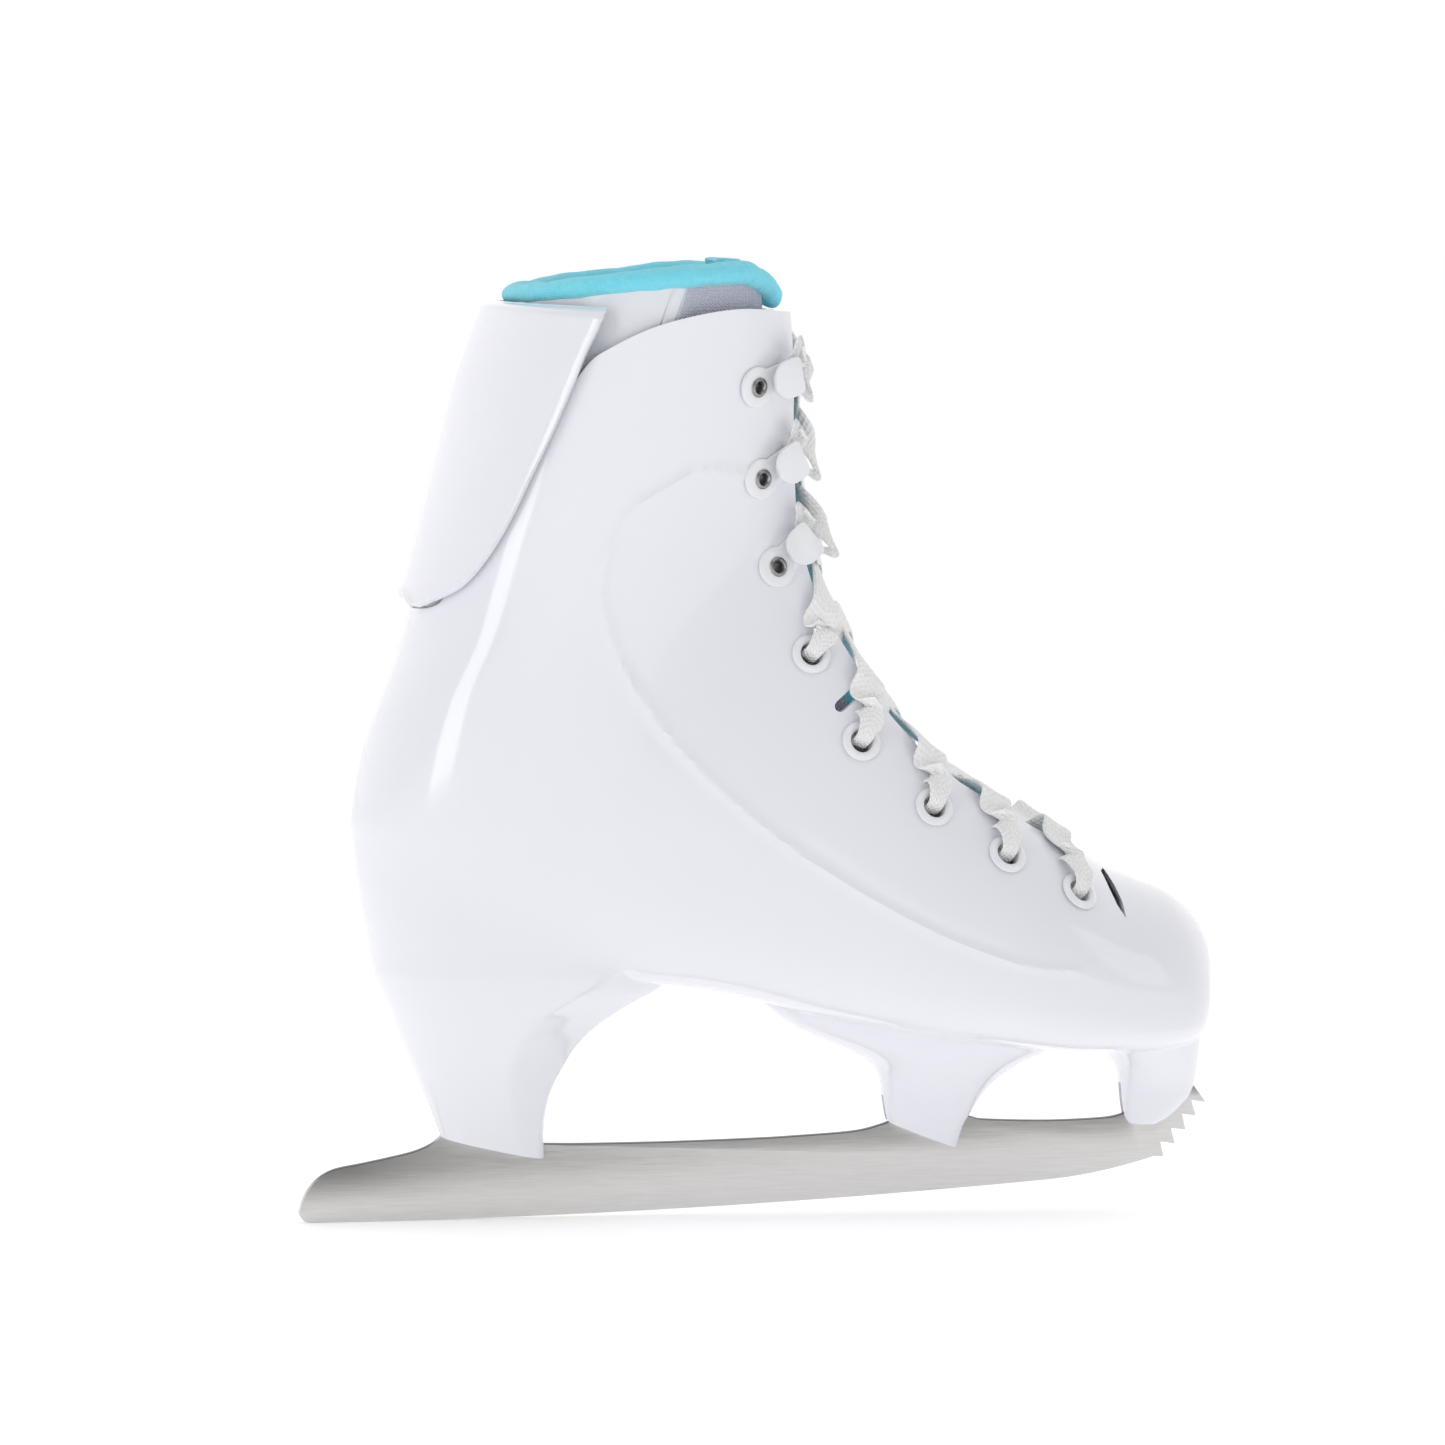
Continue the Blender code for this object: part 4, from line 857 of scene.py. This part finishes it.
# Where each post's flat side ends and its front chamfer starts: height and x.
HEEL_CREASE = [(18.0, -73.5), (28.0, -76.8), (37.0, -78.4), (48.6, -78.7), (58.4, -76.2), (66.0, -71.0),
               (74.0, -60.0), (82.0, -50.0), (105.0, -40.0)]


def contour_lift(points):
    """How far the shell stands out at each point, along the contour line."""
    line = drawn(CONTOUR, 90)
    nearest = np.full(points.shape[:-1], 1e9)
    side_view = points[..., [0, 2]]
    for a, b in zip(line, line[1:]):
        along = b - a
        share = np.clip(((side_view - a) @ along) / (along @ along), 0, 1)
        away = side_view - a - share[..., None] * along
        nearest = np.minimum(nearest, np.linalg.norm(away, axis=-1))
    return CONTOUR_HEIGHT * np.exp(-((nearest / CONTOUR_WIDTH) ** 2))


def post_ring(back, front, half_width, power, crease=None):
    """One level section of a post: rounded, or with flat sides that break at a crease into a chamfer."""
    angles = np.linspace(0, 2 * math.pi, POST_AROUND, endpoint=False)
    c, s = np.cos(angles), np.sin(angles)
    x = (back + front) / 2 + (front - back) / 2 * np.sign(c) * np.abs(c) ** (2 / power)
    y = half_width * np.sign(s) * np.abs(s) ** (2 / power)
    if crease is not None:
        nose = min(4.5, half_width * 0.5)
        allowed = nose + (half_width - nose) * np.clip((front - x) / max(front - crease, 1.0), 0, 1) ** 0.9
        y = np.sign(y) * np.minimum(np.abs(y), allowed)
    return x, y


def dense_post(sections, power, crease=None):
    rows = []
    for height, back, front, half_width in drawn(sections, POST_ROWS):
        edge = None if crease is None else float(read_table(crease, height))
        x, y = post_ring(back, front, half_width, power, edge)
        rows.append([(a, b, height) for a, b in zip(x, y)])
    return skin(rows)


# The slot for the blade in each post: name, back x, front x, top.
BLADE_SLOTS = [("heel", -130.0, -50.0, 41.0), ("ball", 30.0, 80.0, 37.0), ("toe", 105.0, 160.0, 39.4)]

# Where each post runs out into the boot: corners of the box that is softened, and how many times.
POST_ROOTS = [((-130.0, -60.0, 80.0), (-14.0, 60.0, 124.0), 60), ((-6.0, -60.0, 47.0),
              (112.0, 60.0, 66.0), 14),
              ((98.0, -60.0, 46.0), (145.0, 60.0, 60.0), 14)]


def soften(obj, low, high, times):
    """Relaxes the surface inside a box, so that a joined post runs smoothly into the boot."""
    bm = bmesh.new()
    bm.from_mesh(obj.data)
    low, high = Vector(low) * MM, Vector(high) * MM
    inside = [v for v in bm.verts if all(a < c < b for a, c, b in zip(low, v.co, high))]
    for _ in range(times):
        bmesh.ops.smooth_vert(bm, verts=inside, factor=0.5, use_axis_x=True, use_axis_y=True, use_axis_z=True)
    bm.to_mesh(obj.data)
    bm.free()


def make_shell(material):
    shell = mesh_piece("shell", form_solid(0.0, stations_up(40, 200), 230, contour_lift), material)
    boolean(shell, trim_below(dense_post(HEEL_POST, 2.6, HEEL_CREASE), *HEEL_POST_FOOT), "UNION", "heel_post")
    boolean(shell, trim_below(dense_post(BALL_POST, 2.3), *BALL_POST_FOOT), "UNION", "ball_post")
    boolean(shell, dense_post(TOE_POST, 2.3), "UNION", "toe_post")
    settle(shell)
    for region in POST_ROOTS:
        soften(shell, *region)
    boolean(shell, form_solid(SHELL_WALL, stations_up(16, 80), 110), "DIFFERENCE", "cavity")
    boolean(shell, throat_cutter(-6.0, 8.0), "DIFFERENCE", "throat")
    above = [*drawn(SHELL_TOP_EDGE, 80), (-125.0, 340.0), (30.0, 340.0)]
    boolean(shell, prism(above, 80.0), "DIFFERENCE", "top_trim")
    boolean(shell, capsule((22.0, 162.6), (52.0, 186.0), 1.75, 70.0), "DIFFERENCE", "instep_slot")
    leaf = [(107.0, 108.6), (108.0, 104.0), (109.4, 99.6), (111.8, 95.6), (111.6, 100.0),
            (110.4, 104.6), (108.8, 108.8)]
    boolean(shell, prism(leaf, 60.0), "DIFFERENCE", "toe_slit")
    for name, back, front, top in BLADE_SLOTS:
        slot = prism([(back, 5.0), (front, 5.0), (front, top), (back, top)], BLADE_THICKNESS / 2 + GAP)
        boolean(shell, slot, "DIFFERENCE", f"{name}_slot")
    for side in (1, -1):
        for rows, radius in ((EYELETS, EYELET_BARREL_RADIUS + GAP), (HOOKS, RIVET_HOLE_RADIUS + GAP)):
            for number, place in enumerate(rows):
                centre, normal = lace_point(place, side)
                hole = rod([(radius, -10), (radius, 8)], centre, normal, 24)
                boolean(shell, hole, "DIFFERENCE", f"hole_{number}")
    settle(shell, 28.0)
    finish_piece(shell, "boot", "shell", "boot_shell")


def make_cuff(material):
    """The back cuff, with a bead along its front edges and a lip that turns in under the collar."""
    rows, columns = 80, 150
    places = drawn(CUFF_FRONT_EDGE, rows)
    backs = drawn([[v] for v in CUFF_BACK_STATIONS], rows)[:, 0]
    front = eased([locate(x, z) for x, z in places], 30)
    across = np.sin(np.linspace(-math.pi / 2, math.pi / 2, columns))
    station = backs[:, None] + (front[:, :1] - backs[:, None]) * across**2
    ring = 1 + across * (1 - front[:, 1:])
    from_edge = (1 - np.abs(across)) * (1 - front[:, 1:]) * 100.0
    bead = np.exp(-((from_edge / CUFF_BEAD_WIDTH) ** 2)) * CUFF_BEAD_HEIGHT
    down = np.linspace(0, 1, rows)[:, None]
    lip = CUFF_LIP * np.clip(1 - down / 0.06, 0, 1) ** 1.6
    tip = CUFF_TIP_DROP * smooth_step(0.93, 1.0, down)
    outer = on_form(station, ring, -(CUFF_STANDOFF + CUFF_WALL) - bead + lip - tip)[0]
    inner = on_form(station, ring, -CUFF_STANDOFF + 0.4 * lip)[0]
    cuff = mesh_piece("cuff", solid_between(outer, inner), material)
    bevel(cuff, 0.9, 4, 50.0)
    settle(cuff, 50.0)
    finish_piece(cuff, "cuff", "shell", "rear_cuff")


# ---------------------------------------------------------------- blade

def make_blade(material):
    """The blade's outline with its curves drawn smooth and its picks sharp, eased at the edges."""
    top = [tuple(p) for p in drawn(BLADE_TOP, 220)]
    low = [(x, running_edge(x)) for x in np.linspace(-139.5, 127.0, 140)]
    front = []
    for number, tip in enumerate(reversed(PICK_TIPS)):
        front.append(tip)
        if number < len(PICK_ROOTS):
            front.append(PICK_ROOTS[-1 - number])
    tail = [(-142.6, 1.4), (-141.4, 0.3)]
    outline = tail + low + front + [(139.6, 38.6)] + top[::-1]
    blade = mesh_piece("blade_finished", prism(outline, BLADE_THICKNESS / 2), material, 25.0)
    bevel(blade, 0.3, 2, 60.0)
    settle(blade, 30.0)
    finish_piece(blade, "boot", "blade_steel", "blade")


# ---------------------------------------------------------------- soft pieces

def layer(name, stations, low, high, outer, inner, columns, material, closed=None):
    """A padded sheet between two depths, from ring `low` to ring `high` at each station."""
    ring = low[:, None] + (high - low)[:, None] * np.linspace(0, 1, columns)
    station = np.broadcast_to(stations[:, None], ring.shape)
    faces = [on_form(station, ring, depth(station, ring))[0] for depth in (outer, inner)]
    return mesh_piece(name, solid_between(*faces, closed), material, 60.0)


def make_liner(material):
    """The inner boot in one piece, from the toe to the collar."""
    stations = np.concatenate([np.linspace(0, 6, 30), np.linspace(6.05, 21.8, 120)])
    open_width = (read_table(THROAT, stations) + 7.0) * smooth_step(6.2, 7.0, stations)
    width = np.where(stations < 6.3, 0.0, open_width)
    edge = ring_at_width(stations, width)
    liner = layer("liner_finished", stations, edge, 2 - edge, liner_outer, liner_inner, 150, material,
                  stations < 6.3)
    top = [tuple(p) for p in drawn(COLLAR_LINE, 60)]
    above = [(-130.0, top[0][1] - 2.0)] + top + [(14.0, 279.0), (60.0, 279.0), (60.0, 340.0),
                                                 (-130.0, 340.0)]
    boolean(liner, prism(above, 75.0), "DIFFERENCE", "top_trim")
    settle(liner, 60.0)
    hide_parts("liner", "liner_back")
    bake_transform(liner)


def make_collar(material):
    """The plush roll round the top of the inner boot, from one front corner round the back to the other."""
    right, left = collar_side(0.35, 6.35, -1, 60), collar_side(0.35, 6.35, 1, 60)
    rear = [on_form(21.1, ring, COLLAR_DEPTH)[0] for ring in (1.08, 1.0, 0.92)]
    path = eased(evenly_spaced(np.array(right[::-1] + rear + left), 260), 6)
    ahead = np.gradient(path, axis=0)
    ahead /= np.linalg.norm(ahead, axis=1, keepdims=True)
    out = np.cross(ahead, (0.0, 0.0, 1.0))
    out /= np.linalg.norm(out, axis=1, keepdims=True)
    up = np.cross(out, ahead)
    wander = eased(np.random.default_rng(4).normal(0, 1, (len(path), 2)), 8, middle=1.0)
    wander *= COLLAR_UNEVENNESS
    rows = []
    around = 28
    for i, point in enumerate(path):
        end = min(i, len(path) - 1 - i)
        size = math.sqrt(min(1.0, (end + 0.4) / 7.0))
        wide = (COLLAR_HALF_WIDTH + wander[i, 0]) * size
        tall = (COLLAR_HALF_HEIGHT + wander[i, 1]) * size
        angles = [2 * math.pi * k / around for k in range(around)]
        rows.append([point + out[i] * wide * math.cos(t) + up[i] * tall * math.sin(t) for t in angles])
    collar = mesh_piece("collar", skin(rows), material, 80.0)
    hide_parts("collar_back", "collar_left", "collar_right")
    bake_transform(collar)


def make_tongue(material):
    """The padded tongue, crowned across, with its top rounded over; it bends above the top lace."""
    def depth(station, ring):
        lean = 9.8 + 1.4 * smooth_step(19.0, 20.6, station) + 1.6 * (1 - smooth_step(6.6, 8.0, station))
        top = smooth_step(20.4, 21.6, station)
        return lean + 5.0 * top + 2.0 * smooth_step(0.6, 1.0, np.abs(ring) / half_ring(station))

    def half_ring(station):
        width = np.interp(station, [5.9, 7.0, 9.0, 12.0, 20.0, 21.0, 21.35], [16, 33, 43, 42, 36, 33, 28])
        return ring_at_width(station, width)

    def thickness(station, ring):
        share = np.abs(ring) / half_ring(station)
        return 1.4 + 4.6 * np.sqrt(np.clip(1 - share**4, 0, 1)) * (1 - 0.6 * smooth_step(21.3, 21.7, station))

    stations = np.linspace(5.9, 21.35, 150)
    half = half_ring(stations)
    tongue = layer("tongue_finished", stations, -half, half, depth,
                   lambda s, r: depth(s, r) + thickness(s, r), 60, material)
    bevel(tongue, 0.9, 3, 50.0)
    settle(tongue, 60.0)
    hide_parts("tongue", "tongue_top")
    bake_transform(tongue)


# ---------------------------------------------------------------- eyelets, hooks and lace

def rounded(profile, steps=5):
    """A profile of (radius, height) corners with each corner eased into a short curve."""
    made = []
    corners = np.array(profile, float)
    for before, corner, after in zip(np.roll(corners, 1, 0), corners, np.roll(corners, -1, 0)):
        a, b = corner + (before - corner) * 0.3, corner + (after - corner) * 0.3
        for t in np.linspace(0, 1, steps):
            made.append(tuple((1 - t) ** 2 * a + 2 * t * (1 - t) * corner + t * t * b))
    return made


def make_eyelets(material):
    profile = [(EYELET_HOLE_RADIUS, -3.6), (EYELET_BARREL_RADIUS, -3.6), (EYELET_BARREL_RADIUS, GAP),
               (EYELET_FLANGE_RADIUS, 0.1), (EYELET_FLANGE_RADIUS - 0.1, 0.9),
               (EYELET_HOLE_RADIUS + 1.1, 1.6), (EYELET_HOLE_RADIUS, 0.9)]
    for side, label in ((1, "left"), (-1, "right")):
        for number, place in enumerate(EYELETS):
            centre, normal = lace_point(place, side)
            ring = turned(rounded(profile), centre, normal, 56)
            eyelet = mesh_piece(f"eyelet_ring_{label}_{number + 1}", ring, material, 45.0)
            finish_piece(eyelet, "boot", "eyelet", f"eyelet_{label}_{number + 1}")


def plate_outline(reach, radius, half, neck):
    """A hook plate seen from above: a round nose over the strip, and straight sides to the neck."""
    turn = np.linspace(math.pi / 2, 1.5 * math.pi, 30)
    nose = [(reach + radius * math.cos(t), radius * math.sin(t)) for t in turn]
    return nose + [(neck - 1.0, -half), (neck, -half + 1.0), (neck, half - 1.0), (neck - 1.0, half)]


def slab(outline, low, high, point, axes):
    """An outline on two of the axes, drawn out along the third from height `low` to `high`."""
    bm = drawn_out([(u, v, low) for u, v in outline], (0, 0, high - low))
    bm.transform(Matrix.Translation(point) @ Matrix(axes).transposed().to_4x4())
    return bm


def make_hooks(material, rivet_material):
    base_low, base_high = 0.1, GAP + HOOK_METAL
    top_low = base_high + HOOK_PLATE_GAP
    top_high = top_low + HOOK_METAL + 0.2
    neck = HOOK_REACH + 5.6
    for side, label in ((1, "left"), (-1, "right")):
        for number, place in enumerate(HOOKS):
            point, normal, inwards, upwards = lace_axes(place, side)
            axes = (inwards, upwards, normal)
            disc = HOOK_DISC_RADIUS
            base = [(RIVET_HOLE_RADIUS, base_low), (disc, base_low), (disc - 0.1, base_high - 0.3),
                    (disc - 1.0, base_high), (RIVET_HOLE_RADIUS, base_high)]
            washer = turned(base, point, normal, 64)
            hook = mesh_piece(f"hook_{label}_{number + 1}_finished", washer, material, 45.0)
            strip = [(4.0, -4.4), (neck - 0.2, -4.0), (neck - 0.2, 4.0), (4.0, 4.4)]
            plate = plate_outline(HOOK_REACH + 0.6, 6.0, 5.9, neck)
            column = [(neck - 1.1, -4.6), (neck, -4.6), (neck, 4.6), (neck - 1.1, 4.6)]
            boolean(hook, slab(strip, base_low + 0.05, base_high - 0.05, point, axes), "UNION", "strip")
            boolean(hook, slab(plate, top_low, top_high, point, axes), "UNION", "plate")
            boolean(hook, slab(column, base_low + 0.1, top_high - 0.1, point, axes), "UNION", "neck")
            settle(hook)
            bevel(hook, 0.35, 3, 40.0)
            settle(hook, 50.0)
            finish_piece(hook, "boot", "hook", f"hook_{label}_{number + 1}")
            low, high = -SHELL_WALL - 0.8, base_high
            rivet = [(2.7, low - 0.8), (2.7, low), (1.75, low), (1.75, high), (3.1, high + 0.1),
                     (2.8, high + 0.6), (2.2, high + 0.7), (1.7, high + 0.2), (1.5, high - 2.4)]
            bar = rod(rivet, point, normal, 40)
            obj = mesh_piece(f"rivet_{label}_{number + 1}", bar, rivet_material, 50.0)
            finish_piece(obj, "boot", "rivet", f"hook_rivet_{label}_{number + 1}")


LACE_STEPS = 9

# The finished lace against its route: how much wider, how much more where it lies flat, how much thicker.
LACE_SPREAD = 1.12
LACE_FLAT_SPREAD = 0.22
LACE_PLUMPNESS = 1.25


def make_lace(material):
    """The lace as a soft flat ribbon, resampled finely along the frame's route, with rounded edges."""
    left, right = half_lace(1), half_lace(-1)
    stations = right[:0:-1] + left
    numbers = np.array([[*point, *across, width, thick] for point, across, width, thick in stations])
    numbers = eased(drawn(numbers, LACE_STEPS * (len(numbers) - 1) + 1), 3)
    points, across = numbers[:, :3], numbers[:, 3:6]
    ahead = np.gradient(points, axis=0)
    ahead /= np.linalg.norm(ahead, axis=1, keepdims=True)
    across = across - ahead * (across * ahead).sum(1, keepdims=True)
    across /= np.linalg.norm(across, axis=1, keepdims=True)
    up = np.cross(ahead, across)
    travelled = travelled_along(points)
    swell = smooth_step(5.2, 6.4, numbers[:, 6])
    around = 20
    angles = np.linspace(0, 2 * math.pi, around, endpoint=False)
    flat = np.sign(np.cos(angles)) * np.abs(np.cos(angles)) ** 0.5
    thick = np.sign(np.sin(angles)) * np.abs(np.sin(angles)) ** 0.8
    bm = bmesh.new()
    map_of = bm.loops.layers.uv.new("lace")
    rings = []
    for i, point in enumerate(points):
        wide = numbers[i, 6] / 2 * (LACE_SPREAD + LACE_FLAT_SPREAD * swell[i])
        deep = numbers[i, 7] / 2 * LACE_PLUMPNESS
        ring = [bm.verts.new(point + across[i] * wide * a + up[i] * deep * b) for a, b in zip(flat, thick)]
        rings.append(ring)
    for i in range(len(rings) - 1):
        for k in range(around):
            m = (k + 1) % around
            face = bm.faces.new((rings[i][k], rings[i + 1][k], rings[i + 1][m], rings[i][m]))
            places = ((i, k), (i + 1, k), (i + 1, m), (i, m))
            for loop, (row, column) in zip(face.loops, places):
                loop[map_of].uv = (travelled[row], flat[column])
    bm.faces.new(rings[0])
    bm.faces.new(rings[-1])
    lace = mesh_piece("lace_finished", bm, material, 80.0)
    finish_piece(lace, "boot", "lace", "lace")


def finish_hidden_pieces():
    """The pieces inside the boot keep the frame's shapes and get a finish of their own."""
    finishes = {
        "blade_screw": plain_steel("screw_steel", (0.5, 0.5, 0.5), (0.68, 0.68, 0.67)),
        "tang_nut": plain_steel("nut_steel", (0.45, 0.45, 0.45), (0.62, 0.62, 0.61)),
        "insole_board": fibre_board(),
        "footbed": plush("footbed_plush", (0.16, 0.48, 0.66), (0.30, 0.66, 0.84)),
    }
    for name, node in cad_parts.items():
        for start, material in finishes.items():
            if name.startswith(start):
                node.data.materials.clear()
                node.data.materials.append(material)


# ---------------------------------------------------------------- studio

CAMERA_AZIMUTH = -7.0
CAMERA_ELEVATION = 5.0
CAMERA_DISTANCE = 1.9
FRAME_WIDTH = 0.4510
LOOK_AT = (-0.0103, 0.0, 0.1550)

# The studio is white behind the skate and greyer behind the camera, so that the white boot keeps its shape.
SKY_BEHIND = 1.12
SKY_BEFORE = 0.39
FLOOR_GLOW = 0.32


def make_camera():
    azimuth, elevation = math.radians(CAMERA_AZIMUTH), math.radians(CAMERA_ELEVATION)
    level = math.cos(elevation)
    away = Vector((math.sin(azimuth) * level, -math.cos(azimuth) * level, math.sin(elevation)))
    data = bpy.data.cameras.new("camera")
    data.sensor_width = 36.0
    data.lens = 36.0 * CAMERA_DISTANCE / FRAME_WIDTH
    camera = bpy.data.objects.new("camera", data)
    camera.location = Vector(LOOK_AT) + away * CAMERA_DISTANCE
    camera.rotation_euler = (-away).to_track_quat("-Z", "Y").to_euler()
    bpy.context.scene.collection.objects.link(camera)
    bpy.context.scene.camera = camera


def softbox(name, place, target, size, power):
    data = bpy.data.lights.new(name, "AREA")
    data.shape = "RECTANGLE"
    data.size, data.size_y = size
    data.energy = power
    light = bpy.data.objects.new(name, data)
    light.location = place
    light.rotation_euler = (Vector(target) - Vector(place)).to_track_quat("-Z", "Y").to_euler()
    bpy.context.scene.collection.objects.link(light)


def make_studio():
    floor = bpy.data.objects.new("floor", bpy.data.meshes.new("floor"))
    floor.data.from_pydata([(-30, -30, 0), (30, -30, 0), (30, 30, 0), (-30, 30, 0)], [], [(0, 1, 2, 3)])
    bpy.context.scene.collection.objects.link(floor)
    paint = Finish("floor_paint", (0.9, 0.9, 0.9), 0.8, Specular_IOR_Level=0.0, Emission_Strength=FLOOR_GLOW)
    paint.shader.inputs["Emission Color"].default_value = (1, 1, 1, 1)
    floor.data.materials.append(paint.material)
    world = bpy.data.worlds.new("studio")
    world.use_nodes = True
    tree = world.node_tree
    split = tree.nodes.new("ShaderNodeSeparateXYZ")
    tree.links.new(tree.nodes.new("ShaderNodeTexCoord").outputs["Generated"], split.inputs[0])
    depth = Value(tree, split.outputs["Y"]).step(-0.75, 0.75) * (SKY_BEHIND - SKY_BEFORE) + SKY_BEFORE
    tree.links.new(depth.socket, tree.nodes["Background"].inputs["Strength"])
    tree.nodes["Background"].inputs["Color"].default_value = (1, 1, 1, 1)
    bpy.context.scene.world = world
    bpy.context.scene.view_settings.view_transform = "Standard"
    softbox("strip_softbox", (-1.15, -1.25, 0.55), (0, 0, 0.15), (0.36, 1.6), 5.5)
    softbox("top_softbox", (0.3, -0.9, 2.2), (0, 0, 0.15), (1.6, 1.0), 4.0)
    softbox("toe_softbox", (1.7, -1.0, 0.7), (0, 0, 0.12), (0.7, 0.9), 1.6)


# ---------------------------------------------------------------- everything

make_camera()
white = gloss_white()
make_shell(white)
make_cuff(white)
make_blade(brushed_blade())
make_liner(liner_finish())
make_collar(plush("sky_plush", (0.16, 0.72, 0.94), (0.28, 0.90, 1.0)))
make_tongue(plush("tongue_plush", (0.18, 0.70, 0.92), (0.30, 0.88, 0.98)))
make_eyelets(enamel("eyelet_enamel", (0.86, 0.87, 0.90)))
rivet_steel = plain_steel("rivet_steel", (0.16, 0.16, 0.17), (0.5, 0.5, 0.5))
make_hooks(enamel("hook_enamel", (0.86, 0.87, 0.90)), rivet_steel)
make_lace(woven_lace())
finish_hidden_pieces()
make_studio()
